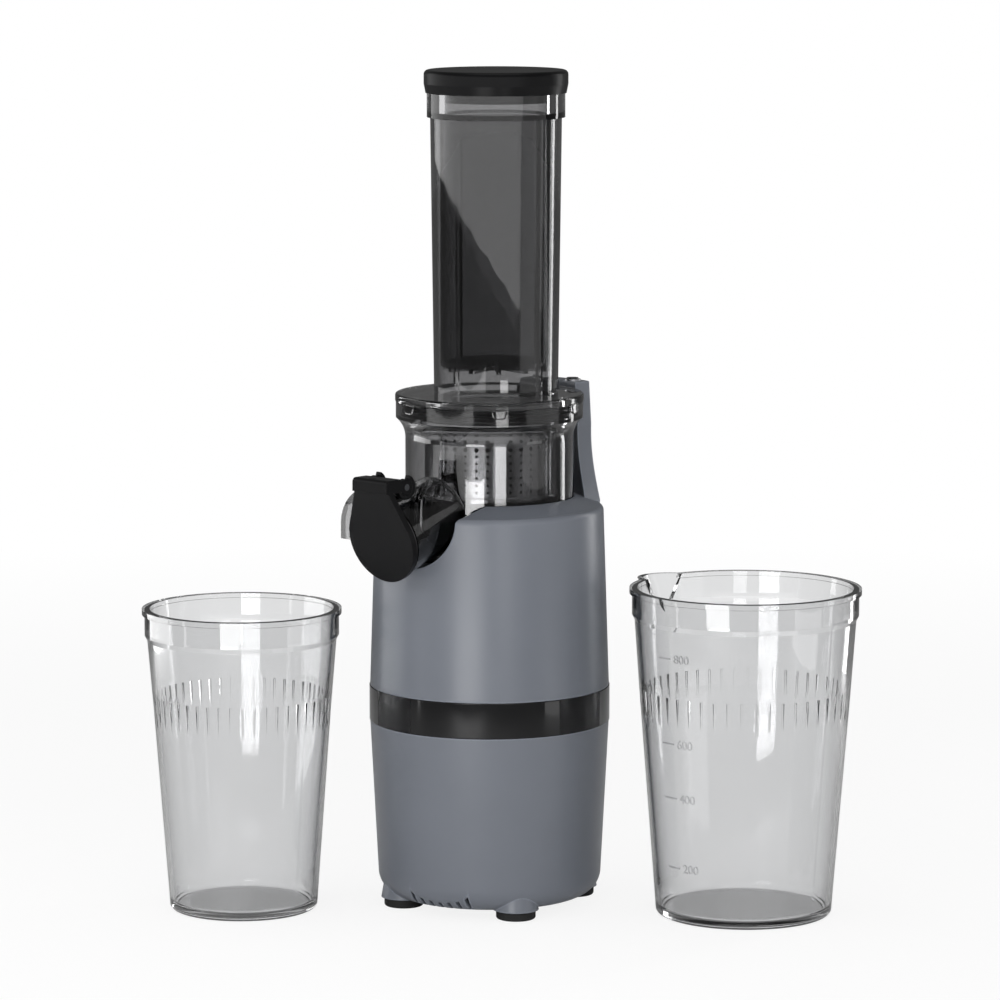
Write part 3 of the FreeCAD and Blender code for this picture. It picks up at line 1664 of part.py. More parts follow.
# Juice jug and pulp cup
def vessel(name, spot, height, rim, belt, foot, belt_height, lip=None):
    """Clear tumbler with a bead round its rim, a grooved belt and, on the jug, a pouring lip."""
    body = new_body(name)
    wall, bead = dim.cup_wall, dim.cup_bead
    turned(
        body,
        [
            (0, 0),
            (foot - bead, 0, bead),
            (foot, bead),
            (belt, belt_height),
            (rim - bead, height - 6 * bead),
            (rim - bead / 2, height - 5 * bead),
            (rim - bead / 2, height - bead),
            (rim, height - bead),
            (rim, height),
            (0, height),
        ],
    )
    if lip:
        centre = -(rim - dim.jug_lip + dim.jug_lip_reach)
        turned(
            body,
            [(0, height - 2 * dim.jug_lip), (dim.jug_lip, height), (0, height)],
            across=centre,
        )
    turned(
        body,
        [
            (0, 1.4 * wall),
            (foot - wall - bead, 1.4 * wall, bead),
            (foot - wall, 1.4 * wall + bead),
            (belt - wall, belt_height),
            (rim - bead - wall, height - 6 * bead),
            (rim - bead - wall / 2, height + 1),
            (0, height + 1),
        ],
        cut=True,
    )
    if lip:
        thin = dim.jug_lip - wall
        turned(
            body,
            [(0, height + 1 - 2 * thin), (thin, height + 1), (0, height + 1)],
            across=centre,
            cut=True,
        )
    half = dim.belt_groove / 2
    groove = outline(
        new_sketch(body, "XY_Plane", belt_height - dim.belt_width / 2),
        [
            (belt - half, -half),
            (belt + bead, -half - 0.3),
            (belt + bead, half + 0.3),
            (belt - half, half),
        ],
    )
    around(body, [cut_in(body, groove, dim.belt_width, Reversed=True)], 48)
    finish(body, name, spot)


def vessels():
    """The two clear vessels that stand beside the juicer."""
    vessel(
        "juice_jug",
        JUG,
        dim.jug_height,
        dim.jug_rim_radius,
        dim.jug_belt_radius,
        dim.jug_foot_radius,
        dim.jug_belt_height,
        lip=True,
    )
    vessel(
        "pulp_cup",
        CUP,
        dim.cup_height,
        dim.cup_rim_radius,
        dim.cup_belt_radius,
        dim.cup_foot_radius,
        dim.cup_belt_height,
    )


def build():
    """Model every sub-part in order from the floor up."""
    rubber_feet()
    base_cover()
    cover_screws()
    lower_housing()
    cord_gland()
    decor_band()
    upper_housing()
    mounting_plate()
    motor_shell()
    rotor()
    gear_train()
    controls()
    rubber_seals()
    juice_bowl()
    spout_cap()
    strainer()
    auger()
    lid_feed_tube()
    pusher()
    vessels()
    DOC.recompute()


def export():
    """Check every object and write one file for each sub-part."""
    for item in DOC.Objects:
        if "Invalid" in item.State or "Error" in item.State:
            raise RuntimeError(f"{item.Name} failed: {item.State}")
    os.makedirs("parts", exist_ok=True)
    for item in SUB_PARTS:
        shape = item.Shape
        if shape.isNull() or not shape.isValid() or not shape.Solids:
            raise RuntimeError(f"{item.Label} has no valid solid")
        shape.exportStep(f"parts/{item.Label}.step")
        print(item.Label, len(shape.Solids), round(shape.Volume, 1))


build()
export()
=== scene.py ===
"""Cold press juicer: finishes, fine pieces, floor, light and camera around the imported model."""

import json
import logging
import math
from dataclasses import dataclass, field
from enum import Enum
from typing import Optional, Union

import bpy
from mathutils import Matrix, Quaternion, Vector


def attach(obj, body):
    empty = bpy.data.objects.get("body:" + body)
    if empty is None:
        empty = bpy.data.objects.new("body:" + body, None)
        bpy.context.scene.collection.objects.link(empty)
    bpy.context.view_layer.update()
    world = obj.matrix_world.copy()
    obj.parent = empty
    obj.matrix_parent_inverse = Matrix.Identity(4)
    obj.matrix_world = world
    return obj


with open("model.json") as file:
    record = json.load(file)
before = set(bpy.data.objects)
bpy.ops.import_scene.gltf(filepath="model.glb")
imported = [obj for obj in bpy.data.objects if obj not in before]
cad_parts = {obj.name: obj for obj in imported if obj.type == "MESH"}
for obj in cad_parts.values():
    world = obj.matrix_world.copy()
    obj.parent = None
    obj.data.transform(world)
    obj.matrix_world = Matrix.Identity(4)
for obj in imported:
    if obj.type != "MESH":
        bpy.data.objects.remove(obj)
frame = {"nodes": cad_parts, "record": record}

log = logging.getLogger("juicer")

class Body(Enum):
    """A moving body that carries new pieces."""

    SPOUT_FLAP = "spout_flap"
    LID = "lid"
    JUG = "jug"


class Slot(Enum):
    """A slot of the record that new pieces are dressed in."""

    CAP = "cap_plastic"
    RUBBER = "black_rubber"
    SMOKED = "smoked_plastic"
    CLEAR = "clear_plastic"


Colour = tuple[float, float, float]
Point = tuple[float, float, float]

AXIS = Vector((-0.018175, 0.010225, 0.0))
JUG = AXIS + Vector((0.1031, 0.0585, 0.0))
VIEW_TURN = math.radians(-48.0)
TOWARDS_VIEW = Vector((math.cos(VIEW_TURN), math.sin(VIEW_TURN), 0.0))
ACROSS_VIEW = Vector((-math.sin(VIEW_TURN), math.cos(VIEW_TURN), 0.0))


class Field:
    """A value in a shader that takes part in Python expressions.

    Each operator adds the Math node that it stands for.
    """

    def __init__(self, graph: "Graph", socket: bpy.types.NodeSocket) -> None:
        """Keeps the graph and the socket that gives the value."""
        self.graph = graph
        self.socket = socket

    def _math(self, operation: str, *values: "Value") -> "Field":
        """Adds a Math node.

        Args:
            operation: the node's operation.
            values: its inputs in order.

        Returns:
            The node's result.
        """
        node = self.graph.node("ShaderNodeMath", {"operation": operation}, dict(enumerate(values)))
        return Field(self.graph, node.outputs[0])

    def __add__(self, other: "Value") -> "Field":
        """Sum."""
        return self._math("ADD", self, other)

    def __radd__(self, other: "Value") -> "Field":
        """Sum with a plain number on the left."""
        return self._math("ADD", other, self)

    def __sub__(self, other: "Value") -> "Field":
        """Difference."""
        return self._math("SUBTRACT", self, other)

    def __rsub__(self, other: "Value") -> "Field":
        """Difference with a plain number on the left."""
        return self._math("SUBTRACT", other, self)

    def __mul__(self, other: "Value") -> "Field":
        """Product."""
        return self._math("MULTIPLY", self, other)

    def __rmul__(self, other: "Value") -> "Field":
        """Product with a plain number on the left."""
        return self._math("MULTIPLY", other, self)

    def __truediv__(self, other: "Value") -> "Field":
        """Quotient."""
        return self._math("DIVIDE", self, other)

    def __lt__(self, other: "Value") -> "Field":
        """1 where the value is lower, else 0."""
        return self._math("LESS_THAN", self, other)

    def __gt__(self, other: "Value") -> "Field":
        """1 where the value is higher, else 0."""
        return self._math("GREATER_THAN", self, other)

    def rounded(self) -> "Field":
        """Nearest whole number."""
        return self._math("ROUND", self)

    def clamped(self) -> "Field":
        """The value held between 0 and 1."""
        return self._math("MINIMUM", self._math("MAXIMUM", self, 0.0), 1.0)

    def heading(self, across: "Field") -> "Field":
        """Angle in radians of the point (across, self)."""
        return self._math("ARCTAN2", self, across)


Value = Union[Field, float, Colour, bpy.types.NodeSocket]


class Graph:
    """The node tree of one material or of the world."""

    def __init__(self, tree: bpy.types.NodeTree) -> None:
        """Starts from an empty tree."""
        self.tree = tree
        tree.nodes.clear()

    def node(
        self,
        kind: str,
        settings: Optional[dict[str, object]] = None,
        sockets: Optional[dict[Union[int, str], Value]] = None,
    ) -> bpy.types.Node:
        """Adds a node.

        Args:
            kind: the node's type.
            settings: its settings, which are set first.
            sockets: a value or a link for each named or numbered input.

        Returns:
            The new node.
        """
        node = self.tree.nodes.new(kind)
        for name, value in (settings or {}).items():
            setattr(node, name, value)
        for name, value in (sockets or {}).items():
            target = node.inputs[name]
            if isinstance(value, Field):
                self.tree.links.new(value.socket, target)
            elif isinstance(value, bpy.types.NodeSocket):
                self.tree.links.new(value, target)
            else:
                target.default_value = value
        return node

    def field(self, node: bpy.types.Node, name: Union[int, str] = 0) -> Field:
        """The named output of a node as a value."""
        return Field(self, node.outputs[name])

    def place(self) -> bpy.types.NodeSocket:
        """The place on the object, in metres."""
        return self.node("ShaderNodeTexCoord").outputs["Object"]

    def centred(self, centre: Vector, stretch: Point = (1.0, 1.0, 1.0)) -> bpy.types.NodeSocket:
        """The place measured from a point.

        Args:
            centre: the point that becomes the origin.
            stretch: how many times finer the pattern is along each axis.

        Returns:
            The vector output.
        """
        moved = tuple(-c * s for c, s in zip(centre, stretch))
        node = self.node(
            "ShaderNodeMapping", None, {"Vector": self.place(), "Location": moved, "Scale": stretch}
        )
        return node.outputs[0]

    def noise(self, place: bpy.types.NodeSocket, size: float, detail: float = 2.0) -> Field:
        """Soft noise between 0 and 1 whose patches are about the given size in metres."""
        node = self.node(
            "ShaderNodeTexNoise", None, {"Vector": place, "Scale": 1.0 / size, "Detail": detail}
        )
        return self.field(node, "Fac")

    def blend(self, factor: Value, low: Value, high: Value) -> bpy.types.NodeSocket:
        """Mixes two colours.

        Args:
            factor: 0 gives the first colour, 1 the second.
            low: the first colour.
            high: the second colour.

        Returns:
            The colour output.
        """
        node = self.node(
            "ShaderNodeMix",
            {"data_type": "RGBA"},
            {0: factor, 6: _opaque(low), 7: _opaque(high)},
        )
        return node.outputs[2]


def _opaque(colour: Value) -> Value:
    """A plain colour with its fourth number; anything else as it is."""
    return (*colour, 1.0) if isinstance(colour, tuple) and len(colour) == 3 else colour


def scaled(colour: Colour, factor: float) -> Colour:
    """The colour made lighter or darker."""
    return tuple(min(1.0, c * factor) for c in colour)


@dataclass(frozen=True)
class Finish:
    """A moulded or machined surface: colour patches, grain, soft edges.

    Lengths are in metres. The grain is the fine texture that the mould leaves. Along the soft edges the
    colour is painted lighter, a painted highlight that stands in for light caught by the rounded edge.
    """

    name: str
    colour: Colour
    roughness: float = 0.5
    metallic: float = 0.0
    patches: float = 0.06
    patch_size: float = 0.03
    grain: float = 0.00004
    grain_size: float = 0.0006
    grain_strength: float = 0.35
    stretch: Point = (1.0, 1.0, 1.0)
    specular: float = 0.5
    edge: float = 0.0004
    # The next two set a painted highlight: how much lighter the colour is painted along edges, and how
    # narrow that painted band is.
    painted_edge_highlight: float = 0.25
    edge_highlight_sharpness: float = 6.0
    patch_roughness: float = 0.12
    grain_roughness: float = 0.10

    def material(self) -> bpy.types.Material:
        """Builds the finish.

        Returns:
            The material.
        """
        material = bpy.data.materials.new(self.name)
        material.use_nodes = True
        graph = Graph(material.node_tree)
        place = graph.centred(AXIS, self.stretch)
        patches = graph.noise(place, self.patch_size, 3.0)
        grain = graph.noise(place, self.grain_size, 2.0)
        plain = graph.node("ShaderNodeNewGeometry").outputs["Normal"]
        soft = plain
        if self.edge > 0.0:
            soft = graph.node("ShaderNodeBevel", {"samples": 4}, {"Radius": self.edge}).outputs[0]
        turned = graph.node("ShaderNodeVectorMath", {"operation": "DOT_PRODUCT"}, {0: soft, 1: plain})
        # Painted highlight: the colour is painted lighter where the bevelled normal turns away from the
        # plain one, along the edges.
        painted_highlight_mask = ((1.0 - graph.field(turned, "Value")) * self.edge_highlight_sharpness).clamped()
        colour = graph.blend(
            patches, scaled(self.colour, 1.0 - self.patches), scaled(self.colour, 1.0 + self.patches)
        )
        colour = graph.blend(painted_highlight_mask * self.painted_edge_highlight, colour, scaled(self.colour, 2.0))
        uneven = (patches - 0.5) * self.patch_roughness + (grain - 0.5) * self.grain_roughness
        rough = (self.roughness + uneven).clamped()
        bump = graph.node(
            "ShaderNodeBump",
            None,
            {
                "Height": grain,
                "Strength": self.grain_strength,
                "Distance": self.grain,
                "Normal": soft,
            },
        )
        self.shade(graph, self.sockets(graph, colour, rough, bump.outputs[0]))
        return material

    def sockets(
        self, graph: Graph, colour: Value, rough: Value, normal: Value
    ) -> dict[Union[int, str], Value]:
        """Gives the shader's inputs.

        Args:
            graph: the material's nodes.
            colour: base colour.
            rough: roughness.
            normal: surface normal.

        Returns:
            The values for the Principled shader.
        """
        return {
            "Base Color": colour,
            "Roughness": rough,
            "Metallic": self.metallic,
            "Normal": normal,
            "Specular IOR Level": self.specular,
        }

    def shade(self, graph: Graph, sockets: dict[Union[int, str], Value]) -> None:
        """Adds the shader and the material's output."""
        shader = graph.node("ShaderNodeBsdfPrincipled", None, sockets)
        graph.node("ShaderNodeOutputMaterial", None, {"Surface": shader.outputs[0]})


@dataclass(frozen=True)
class ClearFinish(Finish):
    """Clear or smoked moulded plastic, tinted as the light passes each wall."""

    roughness: float = 0.02
    grain: float = 0.0
    grain_strength: float = 0.0
    edge: float = 0.0
    # no painted highlight along the edges of clear plastic
    painted_edge_highlight: float = 0.0
    index: float = 1.49
    edge_on: float = 0.35
    facing_blend: float = 0.35

    def sockets(
        self, graph: Graph, colour: Value, rough: Value, normal: Value
    ) -> dict[Union[int, str], Value]:
        """Gives the shader's inputs, with light passing through.

        Args:
            graph: the material's nodes.
            colour: base colour.
            rough: roughness.
            normal: surface normal.

        Returns:
            The values for the Principled shader.
        """
        weight = graph.node("ShaderNodeLayerWeight", None, {"Blend": self.facing_blend})
        facing = graph.field(weight, "Facing")
        deep = graph.blend(facing * facing, colour, scaled(self.colour, self.edge_on))
        values = super().sockets(graph, deep, rough, normal)
        values["Transmission Weight"] = 1.0
        values["IOR"] = self.index
        return values


@dataclass(frozen=True)
class PerforatedFinish(Finish):
    """Steel sheet with rows of fine holes below the rows of large ones."""

    column_turn: float = -39.3
    columns: int = 36
    radius: float = 0.0294
    first_row: float = 0.2095
    row_pitch: float = 0.0033
    rows: int = 6
    hole: float = 0.00062

    def sockets(
        self, graph: Graph, colour: Value, rough: Value, normal: Value
    ) -> dict[Union[int, str], Value]:
        """Gives the shader's inputs, with the fine holes cut out.

        Args:
            graph: the material's nodes.
            colour: base colour.
            rough: roughness.
            normal: surface normal.

        Returns:
            The values for the Principled shader.
        """
        values = super().sockets(graph, colour, rough, normal)
        parts = graph.node("ShaderNodeSeparateXYZ", None, {0: graph.centred(AXIS)})
        angle = graph.field(parts, 1).heading(graph.field(parts, 0))
        step = math.tau / self.columns
        column = (angle - math.radians(self.column_turn)) / step
        across = (column - column.rounded()) * (step * self.radius)
        row = (self.first_row - graph.field(parts, 2)) / self.row_pitch
        nearest = row.rounded()
        up = (row - nearest) * self.row_pitch
        far = across * across + up * up
        hole = (far < self.hole**2) * (nearest > -0.5) * (nearest < self.rows - 0.5)
        values["Alpha"] = 1.0 - hole
        return values


@dataclass(frozen=True)
class RibbedFinish(Finish):
    """Dark moulded frame whose upright ribs are faced with polished steel."""

    low: float = 0.1885
    top: float = 0.2238
    steel: Colour = (0.62, 0.62, 0.63)
    smoother: float = 0.1

    def sockets(
        self, graph: Graph, colour: Value, rough: Value, normal: Value
    ) -> dict[Union[int, str], Value]:
        """Gives the shader's inputs, with steel between the two heights.

        Args:
            graph: the material's nodes.
            colour: base colour.
            rough: roughness.
            normal: surface normal.

        Returns:
            The values for the Principled shader.
        """
        parts = graph.node("ShaderNodeSeparateXYZ", None, {0: graph.place()})
        height = graph.field(parts, 2)
        faced = (height > self.low) * (height < self.top)
        values = super().sockets(graph, graph.blend(faced, colour, self.steel), rough, normal)
        values["Metallic"] = faced
        values["Roughness"] = self.roughness - faced * self.smoother
        return values


FINISHES: dict[str, Finish] = {
    "housing_plastic": Finish(
        "satin_slate_plastic",
        (0.140, 0.152, 0.177),
        0.33,
        grain_size=0.0005,
        edge=0.0012,
        # a strong painted highlight along the housing's edges, such as the rim of the scoop
        painted_edge_highlight=1.6,
    ),
    "gloss_band": Finish(
        "polished_black", (0.003, 0.003, 0.0035), 0.05, grain=0.0, patches=0.2, specular=0.4
    ),
    "dark_plastic": Finish("dark_textured_plastic", (0.03, 0.032, 0.036), 0.55),
    "black_rubber": Finish(
        "black_rubber", (0.018, 0.018, 0.018), 0.78, grain=0.00008, grain_size=0.0012, specular=0.3
    ),
    "bright_steel": Finish(
        "turned_steel", (0.58, 0.58, 0.60), 0.28, 1.0, stretch=(1.0, 1.0, 18.0), grain_size=0.004
    ),
    "motor_steel": Finish(
        "zinc_plated_steel", (0.46, 0.46, 0.47), 0.42, 1.0, patches=0.15, patch_size=0.006
    ),
    "magnet": Finish("sintered_magnet", (0.05, 0.05, 0.055), 0.7, 0.3, patches=0.2, grain_size=0.001),
    "gear_plastic": Finish("natural_nylon", (0.80, 0.78, 0.70), 0.45),
    "bronze": Finish("sintered_bronze", (0.55, 0.36, 0.16), 0.38, 1.0, patches=0.15, patch_size=0.004),
    "silicone": Finish(
        "dark_silicone", (0.05, 0.05, 0.053), 0.6, grain=0.00006, grain_size=0.001, specular=0.4
    ),
    "circuit_board": Finish("board_varnish", (0.015, 0.10, 0.04), 0.35, patches=0.25, patch_size=0.003),
    "chrome": Finish("bright_chrome", (0.74, 0.74, 0.76), 0.08, 1.0, grain=0.000004, edge=0.0003),
    "button_plastic": Finish("button_plastic", (0.03, 0.03, 0.033), 0.32),
    "smoked_plastic": ClearFinish("smoked_plastic", (0.40, 0.40, 0.405), patches=0.03),
    "cap_plastic": Finish(
        "satin_black_plastic", (0.005, 0.005, 0.0055), 0.32, grain_size=0.0005, specular=0.12
    ),
    "frame_plastic": RibbedFinish("strainer_frame_plastic", (0.02, 0.02, 0.022), 0.30),
    "screen_steel": PerforatedFinish(
        "perforated_steel", (0.60, 0.60, 0.61), 0.20, 1.0, stretch=(1.0, 1.0, 12.0), grain_size=0.003
    ),
    "auger_plastic": Finish("screw_plastic", (0.035, 0.035, 0.038), 0.38),
    "clear_plastic": ClearFinish("clear_plastic", (0.81, 0.813, 0.818), patches=0.01),
}


class Wardrobe:
    """Builds each finish once and puts it on nodes and pieces."""

    def __init__(self) -> None:
        """Starts with no finish built."""
        self.made: dict[str, bpy.types.Material] = {}

    def material(self, slot: str) -> bpy.types.Material:
        """Builds the material of a slot, or gives the one already built.

        Args:
            slot: a slot of the record.

        Returns:
            The material.
        """
        if slot not in self.made:
            self.made[slot] = FINISHES[slot].material()
        return self.made[slot]

    def dress(self, piece: bpy.types.Object, slot: str) -> None:
        """Gives an object the finish of a slot, and nothing else."""
        piece.data.materials.clear()
        piece.data.materials.append(self.material(slot))


class Bench:
    """Modelling steps shared by the new pieces."""

    def __init__(self, wardrobe: Wardrobe) -> None:
        """Keeps the finishes."""
        self.wardrobe = wardrobe

    def clear(self) -> None:
        """Deselects every object."""
        bpy.ops.object.select_all(action="DESELECT")

    def only(self, piece: bpy.types.Object) -> None:
        """Makes one object the selected and active one.

        Args:
            piece: the object.
        """
        self.clear()
        piece.select_set(True)
        bpy.context.view_layer.objects.active = piece

    def settle(self, piece: bpy.types.Object) -> None:
        """Puts the object's place, turn and size into its mesh."""
        self.only(piece)
        bpy.ops.object.transform_apply(location=True, rotation=True, scale=True)

    def apply(self, piece: bpy.types.Object, kind: str, **settings: object) -> None:
        """Adds a modifier and applies it.

        Args:
            piece: the object.
            kind: the modifier's type.
            settings: the modifier's settings.
        """
        self.only(piece)
        modifier = piece.modifiers.new(kind.title(), kind)
        for name, value in settings.items():
            setattr(modifier, name, value)
        bpy.ops.object.modifier_apply(modifier=modifier.name)

    def smooth(self, piece: bpy.types.Object, angle: float = 35.0) -> None:
        """Shades smooth where faces meet at less than the angle in degrees."""
        self.only(piece)
        bpy.ops.object.shade_smooth_by_angle(angle=math.radians(angle))

    def give(self, piece: bpy.types.Object, name: str, body: Body, slot: Slot) -> None:
        """Names, dresses and hangs a finished piece on its body.

        Args:
            piece: the object.
            name: its name.
            body: the moving body that carries it.
            slot: the finish.
        """
        piece.name = name
        piece.data.name = name
        self.wardrobe.dress(piece, slot.value)
        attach(piece, body.value)
        log.info("piece %s on %s, %d faces", name, body.value, len(piece.data.polygons))


@dataclass
class PackedParts:
    """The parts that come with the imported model."""

    def dress(self, wardrobe: Wardrobe) -> None:
        """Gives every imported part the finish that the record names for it.

        Args:
            wardrobe: the finishes.
        """
        for entry in frame["record"]["subparts"]:
            node = frame["nodes"][entry["node"]]
            wardrobe.dress(node, entry["material_slot"])
            log.info("dressed %s in %s", entry["node"], entry["material_slot"])


@dataclass(frozen=True)
class Card:
    """A soft upright lamp that lights the juicer and is mirrored in it.

    turn is in degrees round the juicer from the camera's side, distance and height are of its middle,
    size is its width and height, and lean turns it in its own plane, in degrees.
    """

    name: str
    turn: float
    distance: float
    size: tuple[float, float]
    brightness: float
    height: float
    lean: float = 0.0


UPPER_RING: tuple[tuple[float, float], ...] = (
    (-120.0, 0.448),
    (-90.0, 0.433),
    (-60.0, 0.418),
    (-30.0, 0.402),
    (0.0, 0.387),
    (30.0, 0.372),
)

CARDS: tuple[Card, ...] = (
    Card("front_low_card", -19.0, 0.58, (0.25, 0.085), 10.0, 0.083),
    Card("left_low_card", -106.0, 0.60, (0.42, 0.10), 4.5, 0.05),
    Card("left_strip", -68.0, 0.60, (0.03, 0.14), 3.0, 0.07),
    Card("right_low_card", 64.0, 0.56, (0.24, 0.08), 1.6, 0.04),
    Card("right_strip", 120.0, 0.60, (0.07, 0.60), 6.0, 0.30),
    Card("bowl_strip", 15.0, 0.56, (0.14, 0.06), 6.0, 0.14),
    Card("bowl_card", -50.0, 0.58, (0.70, 0.05), 1.6, 0.137),
    *(
        Card(f"high_card_{number}", turn, 0.58, (0.311, 0.32), 1.45, height, -2.9)
        for number, (turn, height) in enumerate(UPPER_RING, start=1)
    ),
    Card("right_high_card", 67.5, 0.58, (0.48, 0.38), 0.6, 0.31),
    Card("top_lamp", 0.0, 0.02, (1.2, 1.2), 1.0, 1.7),
)


@dataclass
class Studio:
    """Floor, lamps, background and camera.

    The floor glows where it is seen directly, wholly so beyond fade_start + fade_length, and elsewhere
    keeps the object's shadow. The world is white where it is seen directly or through clear plastic,
    gives the fill light elsewhere, and is darker where a glossy surface mirrors it.
    """

    floor_radius: float = 4.0
    floor_drop: float = 0.0002
    floor_dark: Colour = (0.93, 0.93, 0.93)
    floor_light: Colour = (0.95, 0.95, 0.95)
    speckle_size: float = 0.4
    glow_near: float = 0.86
    glow_far: float = 0.14
    fade_start: float = 0.35
    fade_length: float = 0.8
    fill: float = 0.32
    white: float = 0.68
    mirror_loss: float = 0.22
    mirror_lift: float = 0.04
    highest_aim: float = 0.5
    target: Vector = field(
        default_factory=lambda: AXIS + ACROSS_VIEW * 0.0048 + Vector((0.0, 0.0, 0.1858))
    )
    distance: float = 2.224
    pitch: float = 7.9
    lens: float = 175.6
    sensor_width: float = 36.0
    clip_end: float = 30.0

    def build(self) -> None:
        """Sets up the whole studio."""
        self.floor()
        self.lamps()
        self.background()
        self.camera()

    def floor(self) -> None:
        """A pale round floor that fades into the background."""
        bpy.ops.object.select_all(action="DESELECT")
        bpy.ops.mesh.primitive_circle_add(
            vertices=96,
            radius=self.floor_radius,
            fill_type="NGON",
            location=(0.0, 0.0, -self.floor_drop),
        )
        floor = bpy.context.object
        floor.name = "studio_floor"
        material = bpy.data.materials.new("pale_floor")
        material.use_nodes = True
        graph = Graph(material.node_tree)
        place = graph.place()
        speckle = graph.noise(place, self.speckle_size)
        colour = graph.blend(speckle, self.floor_dark, self.floor_light)
        shader = graph.node(
            "ShaderNodeBsdfPrincipled",
            None,
            {"Base Color": colour, "Roughness": 0.8, "Specular IOR Level": 0.1},
        )
        rays = graph.node("ShaderNodeLightPath")
        straight = graph.field(rays, "Glossy Depth") < 0.5
        seen = self.seen(graph, rays) * straight
        glow = graph.node("ShaderNodeEmission", None, {"Color": (1.0, 1.0, 1.0, 1.0), "Strength": 1.0})
        far = graph.node("ShaderNodeVectorMath", {"operation": "LENGTH"}, {0: place})
        away = ((graph.field(far, "Value") - self.fade_start) / self.fade_length).clamped()
        share = seen * (self.glow_near + away * self.glow_far)
        both = graph.node(
            "ShaderNodeMixShader", None, {0: share, 1: shader.outputs[0], 2: glow.outputs[0]}
        )
        graph.node("ShaderNodeOutputMaterial", None, {"Surface": both.outputs[0]})
        floor.data.materials.append(material)

    def seen(self, graph: Graph, rays: bpy.types.Node) -> Field:
        """1 for rays from the camera or through clear plastic, else 0."""
        return (graph.field(rays, "Is Camera Ray") + graph.field(rays, "Is Transmission Ray")).clamped()

    def lamp(self, card: Card) -> None:
        """Adds one soft lamp that faces the juicer's axis.

        Args:
            card: its place, size and brightness.
        """
        turn = VIEW_TURN + math.radians(card.turn)
        place = AXIS + Vector((math.cos(turn), math.sin(turn), 0.0)) * card.distance
        place.z = card.height
        data = bpy.data.lights.new(card.name, "AREA")
        data.shape = "RECTANGLE"
        data.size, data.size_y = card.size
        data.energy = card.brightness * math.pi * card.size[0] * card.size[1]
        lamp = bpy.data.objects.new(card.name, data)
        bpy.context.scene.collection.objects.link(lamp)
        lamp.location = place
        facing = AXIS + Vector((0.0, 0.0, min(card.height, self.highest_aim))) - place
        lean = Quaternion((0.0, 0.0, 1.0), math.radians(card.lean))
        lamp.rotation_euler = (facing.to_track_quat("-Z", "Y") @ lean).to_euler()
        lamp.visible_camera = False

    def lamps(self) -> None:
        """Upright soft cards round the juicer and one soft lamp above."""
        for card in CARDS:
            self.lamp(card)

    def background(self) -> None:
        """World: white where it is seen, a soft fill elsewhere, and darker where it is mirrored."""
        world = bpy.data.worlds.new("studio")
        world.use_nodes = True
        bpy.context.scene.world = world
        graph = Graph(world.node_tree)
        rays = graph.node("ShaderNodeLightPath")
        seen = self.seen(graph, rays)
        mirrored = graph.field(rays, "Glossy Depth") > 0.5
        glossy = graph.field(rays, "Is Glossy Ray")
        strength = self.fill + seen * (1.0 - mirrored) * self.white
        strength = strength - mirrored * self.mirror_loss + glossy * self.mirror_lift
        white = (1.0, 1.0, 1.0, 1.0)
        light = graph.node("ShaderNodeBackground", None, {"Color": white, "Strength": strength})
        graph.node("ShaderNodeOutputWorld", None, {"Surface": light.outputs[0]})

    def camera(self) -> None:
        """Camera at the photograph's viewing angle."""
        pitch = math.radians(self.pitch)
        away = TOWARDS_VIEW * math.cos(pitch) + Vector((0.0, 0.0, math.sin(pitch)))
        data = bpy.data.cameras.new("camera")
        data.lens = self.lens
        data.sensor_width = self.sensor_width
        data.clip_end = self.clip_end
        camera = bpy.data.objects.new("camera", data)
        bpy.context.scene.collection.objects.link(camera)
        camera.location = self.target + away * self.distance
        camera.rotation_euler = (-away).to_track_quat("-Z", "Y").to_euler()
        bpy.context.scene.camera = camera
        bpy.context.scene.view_settings.view_transform = "Standard"


